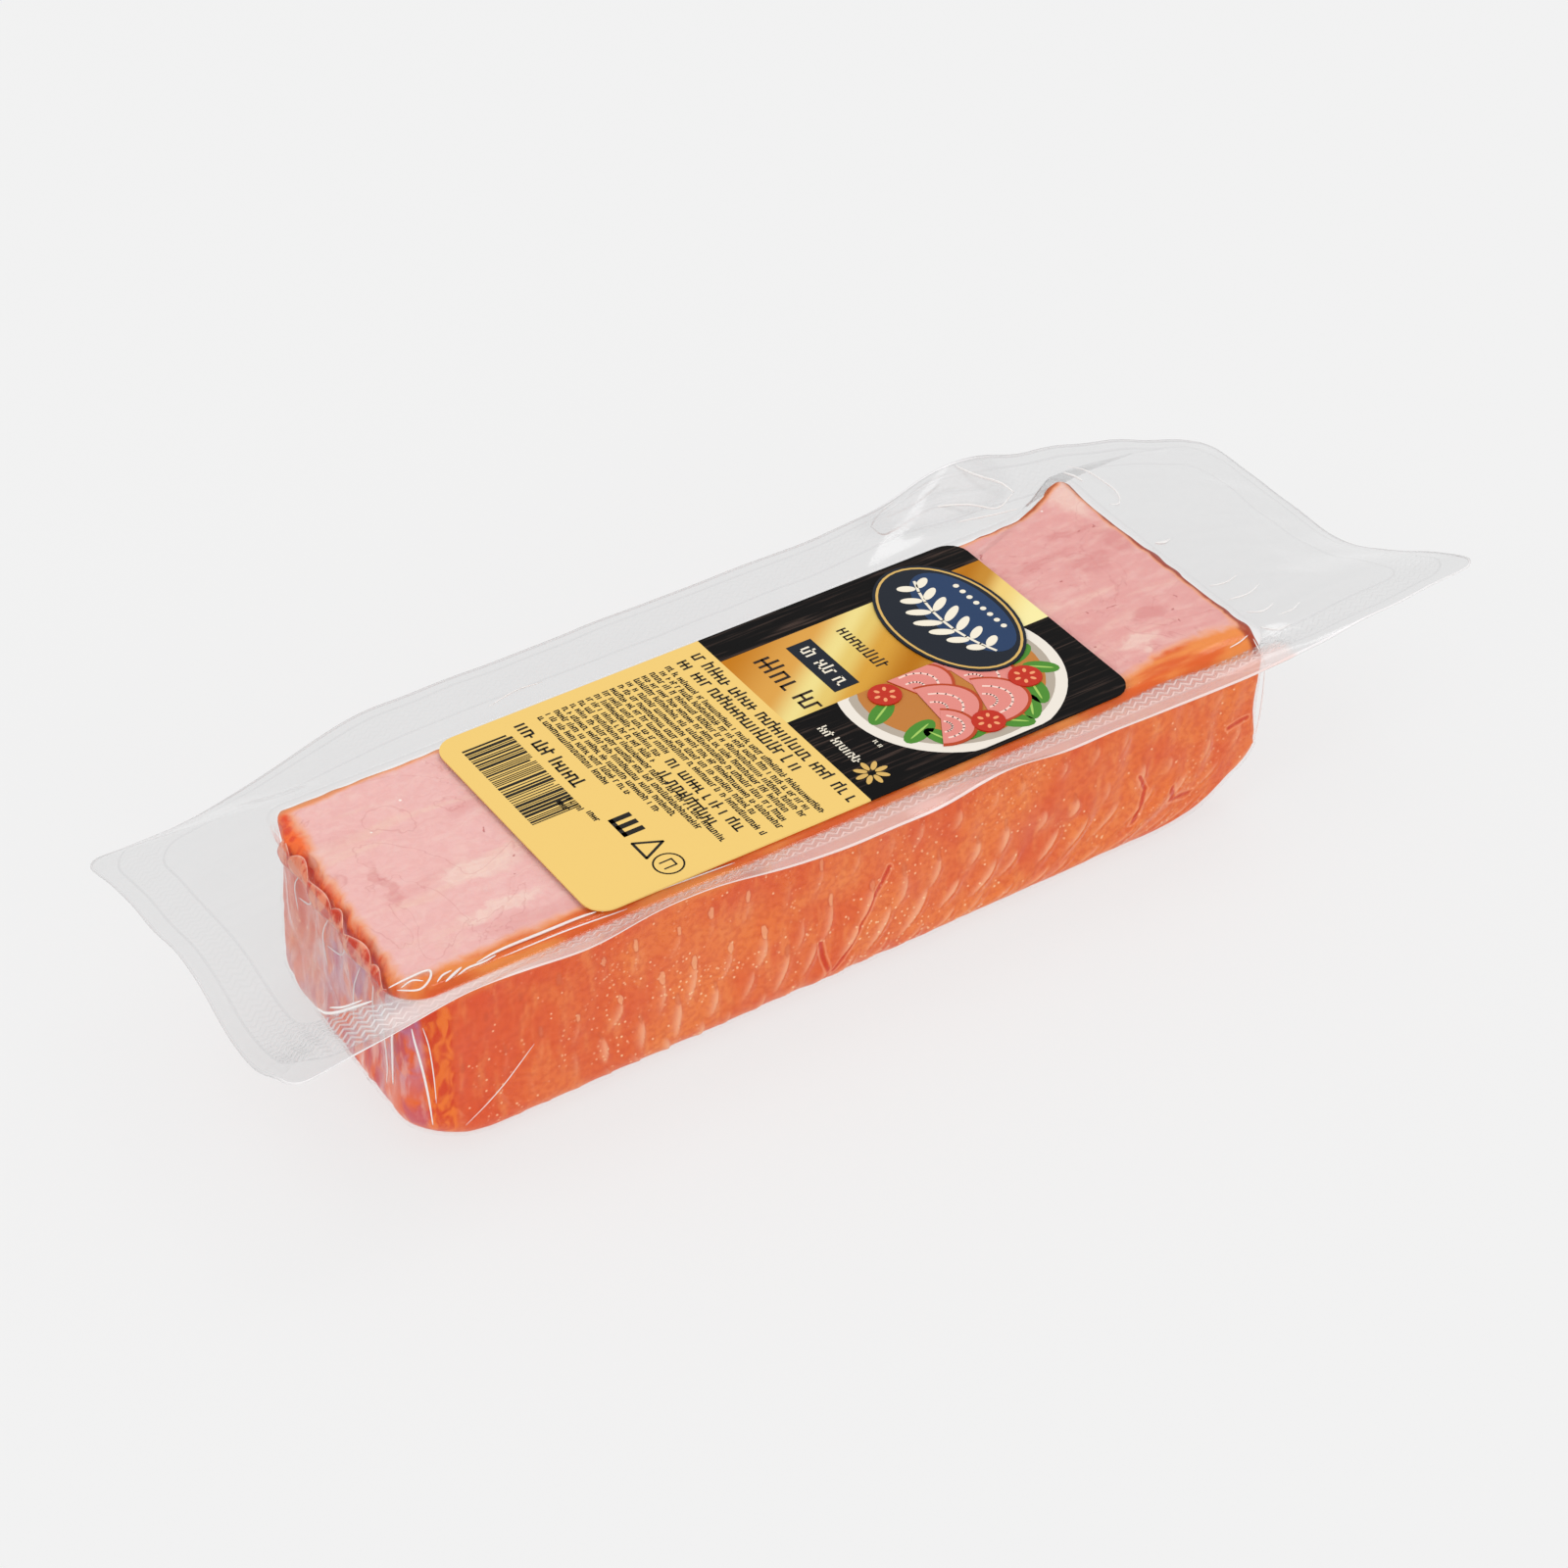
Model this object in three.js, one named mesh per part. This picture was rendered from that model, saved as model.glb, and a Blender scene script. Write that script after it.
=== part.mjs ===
// A vacuum pack of cooked smoked ham, in millimetres, +Z up.
//
// The real pack is two webs of clear film. The bottom web is drawn into a deep pocket round the ham,
// the top web is pulled flat over it, and both are welded together in a wide flange that has gone
// wavy. A printed label is stuck on the flat top.
//
// The frame: origin in the middle of the flat underside, +X along the pack towards its wide flange,
// +Y away from the front, +Z up.

import * as THREE from 'three';

// ---- Driving dimensions -------------------------------------------------------------------------

// the ham in its pocket, as seen from above
const HAM_LEFT = -84;
const HAM_RIGHT = 84.6;
const HAM_FRONT = -27;
const HAM_BACK = 26;
const HAM_TOP = 36.5;
const HAM_CORNERS = [2.5, 2.5, 3, 6]; // radii in plan: front right, back right, back left, front left
const HAM_SKEW = 4; // the left end is cut aslant: its back corner stands in this far

// the rounded underside: long, low curves at the ends and tight ones along the sides
const LEFT_RUN = 11;
const LEFT_RISE = 10;
const RIGHT_RUN = 23;
const RIGHT_RISE = 14;
const SIDE_RUN = 5.5;
const SIDE_RISE = 5.5;
const BASE_CORNER = 12; // corner radius in plan of the flat base

// the flange, as seen from above
const FLANGE_LEFT = -106;
const FLANGE_RIGHT = 127;
const FLANGE_FRONT = -32;
const FLANGE_BACK = 40.8;
const FLANGE_CORNERS = [3, 3, 3, 3];
const FLANGE_DROP = 1.5; // its front edge hangs this far below the flat top
const FLANGE_THICKNESS = 0.5; // both webs, welded

// the step from the flat top down to the flange, which the weld creeps over along the front
const STEP_OUT = 1.1;
const STEP_DOWN = 0.9;
const WELD_CREEP = 0.9;
const WELD_CREEP_RIGHT = 2.3;

// the corner of the ham that is dragged out and turned up, at the back right
const EAR_LIFT = 1.4;
const EAR_REACH = 5.4;
const EAR_LEAN = 0.8; // and it leans this far to the left
const EAR_SIZE = 9;

// the worn front edge at the right end of the top
const BEVEL_DROP = 1.2;
const BEVEL_WIDTH = 6;

// folds of spare film down the left end
const PLEAT_DEPTH = 0.9;
const PLEAT_PITCH = 12.5;

// the label, which lies on the top
const LABEL_LENGTH = 106;
const LABEL_WIDTH = 51.8;
const LABEL_CENTRE_X = 3.2;
const LABEL_CENTRE_Y = -0.2;
const LABEL_CORNERS = [4, 4, 4, 4];
const LABEL_THICKNESS = 0.3;
const CLEARANCE = 0.3; // between the label and the film

// steps round an outline
const LONG_STEPS = 34;
const SHORT_STEPS = 16;
const CORNER_STEPS = 6;

// ---- Small helpers ------------------------------------------------------------------------------

const { lerp, smoothstep } = THREE.MathUtils;

// A soft hump of height 1 at distance 0.
function hump(distance, width) {
  return Math.exp(-((distance / width) ** 2));
}

// Points of a rectangle with round corners, counter-clockwise seen from above, starting on the
// front side at its left corner. Every outline has the same number of points, side by side. The
// radii are those of the front right, back right, back left and front left corners.
function roundedOutline(left, right, front, back, radii) {
  const [a, b, c, d] = radii;
  const corners = [
    { x: right - a, y: front + a, r: a, turn: -90, steps: LONG_STEPS },
    { x: right - b, y: back - b, r: b, turn: 0, steps: SHORT_STEPS },
    { x: left + c, y: back - c, r: c, turn: 90, steps: LONG_STEPS },
    { x: left + d, y: front + d, r: d, turn: 180, steps: SHORT_STEPS },
  ];
  const onCircle = ({ x, y, r }, degrees) => {
    const angle = THREE.MathUtils.degToRad(degrees);
    return new THREE.Vector2(x + r * Math.cos(angle), y + r * Math.sin(angle));
  };
  const points = [];
  corners.forEach((corner, i) => {
    const before = corners[(i + 3) % 4];
    const sideStart = onCircle(before, before.turn + 90);
    const sideEnd = onCircle(corner, corner.turn);
    for (let k = 0; k < corner.steps; k++) {
      points.push(sideStart.clone().lerp(sideEnd, k / corner.steps));
    }
    for (let k = 0; k < CORNER_STEPS; k++) {
      points.push(onCircle(corner, corner.turn + (90 * k) / CORNER_STEPS));
    }
  });
  return points;
}

// A closed body through a stack of rings, from the middle of its top, outwards, round the edge and
// back to the middle of its underside. Each ring is a list of Vector3. A ring marked "mirrored"
// splits the strip before it along the other diagonal, so that the two faces of a thin sheet are
// split alike.
function loft(rings) {
  const count = rings[0].points.length;
  const middle = (points) => points
    .reduce((sum, p) => sum.add(p), new THREE.Vector3())
    .divideScalar(count);
  const vertices = rings.flatMap((ring) => ring.points);
  const top = vertices.push(middle(rings[0].points)) - 1;
  const bottom = vertices.push(middle(rings.at(-1).points)) - 1;
  const faces = [];
  for (let j = 0; j < count; j++) {
    const k = (j + 1) % count;
    faces.push(top, j, k);
    for (let i = 1; i < rings.length; i++) {
      const [a, b] = [(i - 1) * count + j, i * count + j];
      const [c, d] = [i * count + k, (i - 1) * count + k];
      if (rings[i].mirrored) {
        faces.push(a, b, d, b, c, d);
      } else {
        faces.push(a, b, c, a, c, d);
      }
    }
    const last = (rings.length - 1) * count;
    faces.push(bottom, last + k, last + j);
  }
  const geometry = new THREE.BufferGeometry();
  geometry.setAttribute('position', new THREE.Float32BufferAttribute(
    vertices.flatMap((p) => [p.x, p.y, p.z]), 3));
  geometry.setIndex(faces);
  geometry.computeVertexNormals();
  return geometry;
}

// ---- The form of the pack -----------------------------------------------------------------------

// The ham's outline. It is grown by some distance, or drawn in at its left end, its right end and
// its sides. The dragged-out corner comes in by a share from 0 to 1. So does the shape of the base,
// which has rounder corners and is not cut aslant.
function hamOutline({
  grow = 0, leftIn = 0, rightIn = 0, sidesIn = 0, earShare = 0, baseShare = 0,
}) {
  const outline = roundedOutline(
    HAM_LEFT - grow + leftIn, HAM_RIGHT + grow - rightIn,
    HAM_FRONT - grow + sidesIn, HAM_BACK + grow - sidesIn,
    HAM_CORNERS.map((radius) => lerp(radius + grow, BASE_CORNER, baseShare)));
  return outline.map((p) => {
    const toBack = (p.y - HAM_FRONT) / (HAM_BACK - HAM_FRONT);
    const skew = HAM_SKEW * (1 - baseShare) * toBack * smoothstep(-p.x, 30, -HAM_LEFT);
    const ear = earShare * hump(Math.hypot(p.x - HAM_RIGHT, p.y - HAM_BACK), EAR_SIZE);
    return new THREE.Vector2(p.x + skew - EAR_LEAN * ear, p.y + EAR_REACH * ear);
  });
}

// Height of the film over the ham: flat, but for the turned-up corner and the worn front edge.
function topHeight(x, y) {
  const ear = EAR_LIFT * hump(Math.hypot(x - HAM_RIGHT, y - HAM_BACK - EAR_REACH), EAR_SIZE);
  const alongRight = smoothstep(x, 60, 74);
  const bevel = BEVEL_DROP * alongRight * smoothstep(-y, -HAM_FRONT - BEVEL_WIDTH, -HAM_FRONT);
  return HAM_TOP + ear - bevel;
}

// Height of the flange's outer edge above the flat top. The back stays level but for a tent beside
// the turned-up corner, the front ripples, the left end droops and the right end curls down at its
// back corner.
function flangeLift(x, y) {
  const toBack = smoothstep(y, FLANGE_FRONT, FLANGE_BACK);
  const frontRipple = 3.6 * hump(x + 74, 17) + 4 * hump(x + 36, 17) + 2.1 * hump(x - 26, 9)
    + 0.8 * hump(x - 46, 10);
  const frontShare = hump(y - FLANGE_FRONT, 8);
  const tent = 5 * hump(x - 66, 14) * hump(y - FLANGE_BACK, 14);
  const droopShare = lerp(0.5, 1, smoothstep(y, 20, 44));
  const droop = 9 * smoothstep(-x, 50, 92) * lerp(droopShare, 0, frontShare);
  const leftRipple = smoothstep(-x, 96, 3 - FLANGE_LEFT)
    * (2.6 * hump(y - 4, 8) - 3 * hump(y + 13, 8) - 1.2 * hump(y + 24, 12));
  const outward = Math.max(0, (x - HAM_RIGHT) / (FLANGE_RIGHT - HAM_RIGHT));
  const curlShare = smoothstep(y, FLANGE_FRONT - 5, 8);
  const rightEnd = lerp(4.4 * outward, -13 * outward ** 1.5, curlShare);
  return -FLANGE_DROP * (1 - toBack) + frontRipple * frontShare + tent - droop + leftRipple
    + rightEnd;
}

// Pleats run down the left end, deepest just under the flange.
function pleat(point, z) {
  const onLeftEnd = smoothstep(-point.x, -HAM_LEFT - HAM_SKEW - 4, -HAM_LEFT - HAM_SKEW);
  const depth = PLEAT_DEPTH * onLeftEnd * smoothstep(z, LEFT_RISE, HAM_TOP - 6);
  return depth * (0.5 + 0.5 * Math.cos((2 * Math.PI * point.y) / PLEAT_PITCH));
}

// How far back the weld reaches over the ham along the front, more so at its right.
function weldCreep(x, y) {
  const creep = lerp(WELD_CREEP, WELD_CREEP_RIGHT, smoothstep(x, 45, 66));
  return creep * smoothstep(-y, -HAM_FRONT - 9, -HAM_FRONT);
}

// The flat top: rings that grow from the middle to the edge.
function topRings() {
  const edge = hamOutline({ grow: -0.8, earShare: 1 })
    .map((p) => new THREE.Vector2(p.x, p.y + weldCreep(p.x, p.y)));
  return [0.12, 0.35, 0.58, 0.78, 0.9, 0.96, 1].map((size) => ({
    points: edge.map((p) => {
      const [x, y] = [p.x * size, p.y * size];
      return new THREE.Vector3(x, y, topHeight(x, y));
    }),
  }));
}

// The line where the film leaves the ham and becomes flange.
function rimRing() {
  return hamOutline({ grow: STEP_OUT, earShare: 1 }).map((p) => {
    const y = p.y + weldCreep(p.x, p.y);
    const down = STEP_DOWN * lerp(1, 0.5, smoothstep(y, 0, HAM_BACK));
    return new THREE.Vector3(p.x, y, topHeight(p.x, y) - down);
  });
}

// The flange's outer edge.
function edgeRing() {
  const outline = roundedOutline(
    FLANGE_LEFT, FLANGE_RIGHT, FLANGE_FRONT, FLANGE_BACK, FLANGE_CORNERS);
  return outline.map((p) => new THREE.Vector3(p.x, p.y, HAM_TOP + flangeLift(p.x, p.y)));
}

// Rings across the flange, at shares from 0 at the rim to 1 at the outer edge.
function flangeRings(shares, drop, mirrored) {
  const rim = rimRing();
  const edge = edgeRing();
  return shares.map((share, i) => ({
    mirrored: mirrored && i > 0,
    points: rim.map((p, j) => new THREE.Vector3(
      lerp(p.x, edge[j].x, share),
      lerp(p.y, edge[j].y, share),
      lerp(p.z, edge[j].z, share ** 1.3) - drop)),
  }));
}

// The pocket's wall below the flange.
function wallRings() {
  const rim = rimRing();
  return [3, 7, 12, 17].map((depth) => {
    const earShare = 1 - smoothstep(depth, 2, 14);
    const outline = hamOutline({ earShare });
    return {
      points: outline.map((p, j) => {
        const z = lerp(rim[j].z, HAM_TOP, smoothstep(depth, 3, 17)) - depth;
        return new THREE.Vector3(p.x + pleat(p, z), p.y, z);
      }),
    };
  });
}

// The rounded underside: at each height the outline draws in by a quarter ellipse, with a long run
// at the ends and a short one along the sides, down to the flat base.
function undersideRings() {
  const drawIn = (z, run, rise) => {
    const share = Math.max(0, (rise - z) / rise);
    return run * (1 - Math.sqrt(1 - share * share));
  };
  return [RIGHT_RISE, 11, 7.6, 5, 3, 1.5, 0.5, 0].map((z) => {
    const outline = hamOutline({
      leftIn: drawIn(z, LEFT_RUN, LEFT_RISE),
      rightIn: drawIn(z, RIGHT_RUN, RIGHT_RISE),
      sidesIn: drawIn(z, SIDE_RUN, SIDE_RISE),
      baseShare: 1 - z / RIGHT_RISE,
    });
    return { points: outline.map((p) => new THREE.Vector3(p.x, p.y, z)) };
  });
}

// The flat base: rings that shrink to the middle.
function baseRings() {
  const base = undersideRings().at(-1).points;
  return [0.66, 0.25].map((size) => ({
    points: base.map((p) => new THREE.Vector3(p.x * size, p.y * size, 0)),
  }));
}

function packGeometry() {
  const shares = [0, 0.34, 0.67, 1];
  return loft([
    ...topRings(),
    ...flangeRings(shares, 0, false),
    ...flangeRings([...shares].reverse(), FLANGE_THICKNESS, true),
    ...wallRings(),
    ...undersideRings(),
    ...baseRings(),
  ]);
}

// ---- The label ----------------------------------------------------------------------------------

function labelGeometry() {
  const [halfLength, halfWidth] = [LABEL_LENGTH / 2, LABEL_WIDTH / 2];
  const edge = roundedOutline(-halfLength, halfLength, -halfWidth, halfWidth, LABEL_CORNERS);
  const ring = (size, height) => ({
    mirrored: height === 0,
    points: edge.map((p) => new THREE.Vector3(p.x * size, p.y * size, height)),
  });
  return loft([
    ring(0.5, LABEL_THICKNESS), ring(1, LABEL_THICKNESS), ring(1, 0), ring(0.5, 0),
  ]);
}

// ---- The parts ----------------------------------------------------------------------------------

const pack = new THREE.Mesh(packGeometry(), new THREE.MeshStandardMaterial({
  color: '#e8806a', roughness: 0.25, metalness: 0,
}));
pack.name = 'vacuum_pack';

const label = new THREE.Mesh(labelGeometry(), new THREE.MeshStandardMaterial({
  color: '#efd07a', roughness: 0.45, metalness: 0,
}));
label.name = 'label';
label.position.set(LABEL_CENTRE_X, LABEL_CENTRE_Y, HAM_TOP + CLEARANCE);

const hamPack = new THREE.Group();
hamPack.add(pack, label);

export default hamPack;
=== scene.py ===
# %% [markdown]
# # A vacuum pack of cooked smoked ham
#
# The real thing is a block of ham between two webs of clear film. The lower web was drawn into a deep
# pocket, the upper web was pulled flat over the cut face, and the two were welded together in a wide
# flange that has since gone wavy. A printed paper label is stuck on top.
#
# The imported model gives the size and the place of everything. Here the plain solid is replaced by the
# ham and the film round it, and the label keeps its own solid and gets its print.

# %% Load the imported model
import math

import bpy
import numpy as np
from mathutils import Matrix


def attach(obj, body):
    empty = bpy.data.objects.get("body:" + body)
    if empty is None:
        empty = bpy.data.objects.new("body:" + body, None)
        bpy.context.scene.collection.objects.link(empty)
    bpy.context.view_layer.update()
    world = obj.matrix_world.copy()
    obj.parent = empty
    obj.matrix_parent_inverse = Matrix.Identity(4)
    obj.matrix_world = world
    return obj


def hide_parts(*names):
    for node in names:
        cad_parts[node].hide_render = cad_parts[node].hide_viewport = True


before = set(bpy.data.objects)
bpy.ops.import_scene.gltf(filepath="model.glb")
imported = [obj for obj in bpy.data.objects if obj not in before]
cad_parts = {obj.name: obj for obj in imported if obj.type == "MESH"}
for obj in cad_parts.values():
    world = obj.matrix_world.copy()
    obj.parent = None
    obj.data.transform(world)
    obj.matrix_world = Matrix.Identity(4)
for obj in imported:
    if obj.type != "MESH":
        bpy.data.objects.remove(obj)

scene = bpy.context.scene
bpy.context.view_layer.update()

# %% [markdown]
# ## The camera
#
# It comes first, so that every later render can be laid beside the photograph. A camera is a place,
# a direction and a lens. The direction is given by two angles: how far round the pack it stands
# (azimuth) and how far above it (elevation). The three axes of the camera follow from them, and they
# are the columns of its turning matrix.

# %% Camera
from mathutils import Matrix, Vector

MM = 0.001  # every length below is in millimetres, and is multiplied by this when it meets Blender

CAMERA_AZIMUTH = math.radians(-33.67)
CAMERA_ELEVATION = math.radians(38.58)
CAMERA_DISTANCE = 604.8
CAMERA_TARGET = Vector((-6.68, -14.31, 36.5))
CAMERA_LENS, CAMERA_SENSOR = 85.59, 36

to_camera = Vector((
    math.sin(CAMERA_AZIMUTH) * math.cos(CAMERA_ELEVATION),
    -math.cos(CAMERA_AZIMUTH) * math.cos(CAMERA_ELEVATION),
    math.sin(CAMERA_ELEVATION),
))
to_right = Vector((math.cos(CAMERA_AZIMUTH), math.sin(CAMERA_AZIMUTH), 0))
turn = Matrix((to_right, to_camera.cross(to_right), to_camera)).transposed().to_4x4()
camera = bpy.data.objects.new("camera", bpy.data.cameras.new("camera"))
camera.data.lens = CAMERA_LENS
camera.data.sensor_width = CAMERA_SENSOR
camera.data.clip_start = 0.01
camera.matrix_world = Matrix.Translation((CAMERA_TARGET + CAMERA_DISTANCE * to_camera) * MM) @ turn
scene.collection.objects.link(camera)
scene.camera = camera
print("camera at", [round(v, 4) for v in camera.location])

# %% [markdown]
# ## Small tools for shapes
#
# Such soft shapes could be sculpted by hand. Here they are worked out as whole arrays of points, so that
# each bend has a number that can be measured and changed. `lerp` blends two values, `smoothstep` eases
# from 0 to 1 between two limits, and `hump` is a soft bell. `soft_noise` adds a few waves that run in
# random directions, which is enough for the gentle unevenness of meat and film.

# %% Shape tools
def lerp(a, b, share):
    """Straight blend from a, at share 0, to b, at share 1."""
    return a + (b - a) * share


def smoothstep(x, low, high):
    """0 below low, 1 above high, and 3t^2 - 2t^3 between them."""
    t = np.clip((x - low) / (high - low), 0, 1)
    return t * t * (3 - 2 * t)


def hump(distance, width):
    """A bell of height 1: e to the power of minus the square of distance over width."""
    return np.exp(-((distance / width) ** 2))


def soft_noise(a, b, size, seed, waves=14):
    """Sum of plane waves with random directions and phases, about size mm long, scaled to about -1..1."""
    rng = np.random.default_rng(seed)
    total = np.zeros(np.broadcast(a, b).shape)
    for angle, phase, stretch in rng.random((waves, 3)):
        step = 2 * math.pi / (size * (0.6 + 0.9 * stretch))
        way = a * math.cos(2 * math.pi * angle) + b * math.sin(2 * math.pi * angle)
        total += np.sin(way * step + 2 * math.pi * phase)
    return total / math.sqrt(waves)


def path_distance(a, b, path):
    """Distance in mm from each point (a, b) to a path of straight pieces: the least over its pieces."""
    best = np.full(np.broadcast(a, b).shape, np.inf)
    for (a0, b0), (a1, b1) in zip(path[:-1], path[1:]):
        length = (a1 - a0) ** 2 + (b1 - b0) ** 2
        t = np.clip(((a - a0) * (a1 - a0) + (b - b0) * (b1 - b0)) / length, 0, 1)
        best = np.minimum(best, np.hypot(a - a0 - t * (a1 - a0), b - b0 - t * (b1 - b0)))
    return best


def box_distance(x, y, box, radius):
    """Distance in mm outside a rectangle (left, right, front, back) with round corners; negative inside."""
    left, right, front, back = box
    dx = np.abs(x - (left + right) / 2) - ((right - left) / 2 - radius)
    dy = np.abs(y - (front + back) / 2) - ((back - front) / 2 - radius)
    outside = np.hypot(np.maximum(dx, 0), np.maximum(dy, 0)) + np.minimum(np.maximum(dx, dy), 0)
    return outside - radius


print("a bell one width away:", round(float(hump(1, 1)), 3), "eased a quarter:", smoothstep(0.25, 0, 1))


# %% [markdown]
# ## From points to a mesh
#
# Both the ham and the film are stacks of rings: each ring goes once round the pack, and the rings lead
# from the middle of the top, over the edge and down the wall, to the middle of the underside. Joining
# ring to ring with four-sided faces, and closing both middles with a fan of triangles, gives a closed
# skin whose faces all point outwards. `foreach_set` hands the whole array to Blender at once.

# %% Mesh tools
def make_mesh(name, points, corners, counts, attributes=None, smooth=True):
    """A mesh from points in mm, the corner numbers of all faces in one row, and each face's corner count."""
    mesh = bpy.data.meshes.new(name)
    mesh.vertices.add(len(points))
    mesh.vertices.foreach_set("co", (points * MM).astype(np.float32).ravel())
    mesh.loops.add(len(corners))
    mesh.loops.foreach_set("vertex_index", corners.astype(np.int32))
    mesh.polygons.add(len(counts))
    mesh.polygons.foreach_set("loop_start", (np.cumsum(counts) - counts).astype(np.int32))
    mesh.polygons.foreach_set("use_smooth", np.full(len(counts), smooth))
    for key, values in (attributes or {}).items():
        mesh.attributes.new(key, "FLOAT", "POINT").data.foreach_set("value", values.astype(np.float32))
    mesh.update(calc_edges=True)
    return mesh


def make_piece(name, mesh, material, replaced=()):
    """An object at the origin, in the scene, that rides on the pack's one body."""
    piece = bpy.data.objects.new(name, mesh)
    scene.collection.objects.link(piece)
    mesh.materials.append(material)
    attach(piece, "root")
    if replaced:
        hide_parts(*replaced)
    print(f"{name}: {len(mesh.vertices)} points, {len(mesh.polygons)} faces")
    return piece


def joined_rows(here):
    """Four-sided faces between closed rows of point numbers (row, point)."""
    following = np.roll(here, -1, axis=1)
    return np.stack([here[:-1], here[1:], following[1:], following[:-1]], axis=-1).reshape(-1, 4)


def ring_skin(name, rings, attributes=None):
    """Closed skin through rings of shape (ring, point, 3), from the middle of the top outwards and down."""
    ring_count, count, _ = rings.shape
    points = np.vstack([rings.reshape(-1, 3), rings[0].mean(0), rings[-1].mean(0)])
    here = np.arange(ring_count * count).reshape(ring_count, count)
    quads = joined_rows(here)
    following = np.roll(here, -1, axis=1)
    cap = np.stack([np.full(count, len(points) - 2), here[0], following[0]], axis=-1)
    base = np.stack([np.full(count, len(points) - 1), following[-1], here[-1]], axis=-1)
    corners = np.concatenate([quads.ravel(), cap.ravel(), base.ravel()])
    counts = np.concatenate([np.full(len(quads), 4), np.full(2 * count, 3)])
    numbers = {key: np.concatenate([value.ravel(), [value[0].mean(), value[-1].mean()]])
               for key, value in (attributes or {}).items()}
    return make_mesh(name, points, corners, counts, numbers)


# %% [markdown]
# ## The form of the pack
#
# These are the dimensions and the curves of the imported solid, so that the ham and the film sit exactly
# where it was: a long block with round corners, whose left end is cut a little aslant, whose back right
# corner is dragged out and turned up, and whose underside is rounded where the web was drawn. The weld
# creeps a little over the block's front edge. The flange ripples at the front, droops at the left,
# makes a tent by the turned-up corner and curls down at its far right corner.

# %% Dimensions shared by the ham and the film, in mm
HAM_LEFT, HAM_RIGHT = -84, 84.6
HAM_FRONT, HAM_BACK = -27, 26
HAM_TOP = 36.5
HAM_CORNERS = np.array([2.5, 2.5, 3, 6])  # radii: front right, back right, back left, front left
HAM_SKEW = 4  # the left end lies this much further left at the front than at the back
LEFT_RUN, LEFT_RISE = 11, 10  # the round at the underside's left edge: how far in and how high
RIGHT_RUN, RIGHT_RISE = 23, 14
SIDE_RUN, SIDE_RISE = 5.5, 5.5
BASE_CORNER = 12  # radius of the underside's corners
FLANGE = (-106, 127, -32, 40.8)  # left, right, front and back of its outer edge
FLANGE_CORNER = 3
FLANGE_DROP = 1.5  # its front edge hangs this far below the flat top
STEP_OUT, STEP_DOWN = 1.1, 0.9  # the step between the flat top and the flange
WELD_CREEP, WELD_CREEP_RIGHT = 0.9, 2.3  # how far the weld reaches over the block's front edge
EAR_LIFT, EAR_REACH, EAR_LEAN, EAR_SIZE = 1.4, 5.4, 0.8, 9  # the turned-up corner
BEVEL_DROP, BEVEL_WIDTH = 1.2, 6  # the worn front edge at the right
PLEAT_DEPTH, PLEAT_PITCH = 0.9, 12.5
FRONT_RIPPLES = ((3.6, -74, 17), (4, -36, 17), (2.1, 26, 9), (0.8, 46, 10))  # height, x, half width
LEFT_RIPPLES = ((2.6, 4, 8), (-3, -13, 8), (-1.2, -24, 12))  # height, y, half width
TENT_HEIGHT, TENT_AT, TENT_SIZE = 5, 66, 14
DROOP, CURL_UP, CURL_DOWN = 9, 4.4, -13  # the flange at its back left, front right and back right
FLANGE_BEND = 1.3  # the flange leaves the rim nearly level and bends further out, by this power

print("ham", HAM_RIGHT - HAM_LEFT, "x", HAM_BACK - HAM_FRONT, "x", HAM_TOP, "mm")
print("flange", FLANGE[1] - FLANGE[0], "x", FLANGE[3] - FLANGE[2], "mm")

# %% Outline of the block
def rounded_outline(left, right, front, back, radii, steps):
    """Points (n, 2) of a rectangle with round corners, counter-clockwise from its front left: for each
    corner, the straight side that leads to it and then a quarter circle."""
    front_steps, end_steps, back_steps, corner_steps = steps
    a, b, c, d = radii
    centres = np.array([
        (right - a, front + a), (right - b, back - b), (left + c, back - c), (left + d, front + d)])
    parts = []
    for i, side_steps in enumerate((front_steps, end_steps, back_steps, end_steps)):
        quarter = 90 * i - 90
        arm = np.array([math.cos(math.radians(quarter)), math.sin(math.radians(quarter))])
        share = (np.arange(side_steps) / side_steps)[:, None]
        parts.append(lerp(centres[i - 1] + radii[i - 1] * arm, centres[i] + radii[i] * arm, share))
        angle = np.radians(quarter + 90 * np.arange(corner_steps) / corner_steps)
        parts.append(centres[i] + radii[i] * np.stack([np.cos(angle), np.sin(angle)], axis=1))
    return np.vstack(parts)


def left_edge(y, base_share=0):
    """x of the block's left end, which slants a little more to the left at the front."""
    return HAM_LEFT + HAM_SKEW * (1 - base_share) * (y - HAM_FRONT) / (HAM_BACK - HAM_FRONT)


def ham_outline(steps, grow=0, left_in=0, right_in=0, sides_in=0, ear_share=0, base_share=0):
    """The block's outline, grown or drawn in, with the slant of its left end and its dragged-out corner."""
    p = rounded_outline(
        HAM_LEFT - grow + left_in, HAM_RIGHT + grow - right_in,
        HAM_FRONT - grow + sides_in, HAM_BACK + grow - sides_in,
        lerp(HAM_CORNERS + grow, BASE_CORNER, base_share), steps)
    x, y = p.T
    skew = (left_edge(y, base_share) - HAM_LEFT) * smoothstep(-x, 30, -HAM_LEFT)
    ear = ear_share * hump(np.hypot(x - HAM_RIGHT, y - HAM_BACK), EAR_SIZE)
    return np.stack([x + skew - EAR_LEAN * ear, y + EAR_REACH * ear], axis=1)


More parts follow.
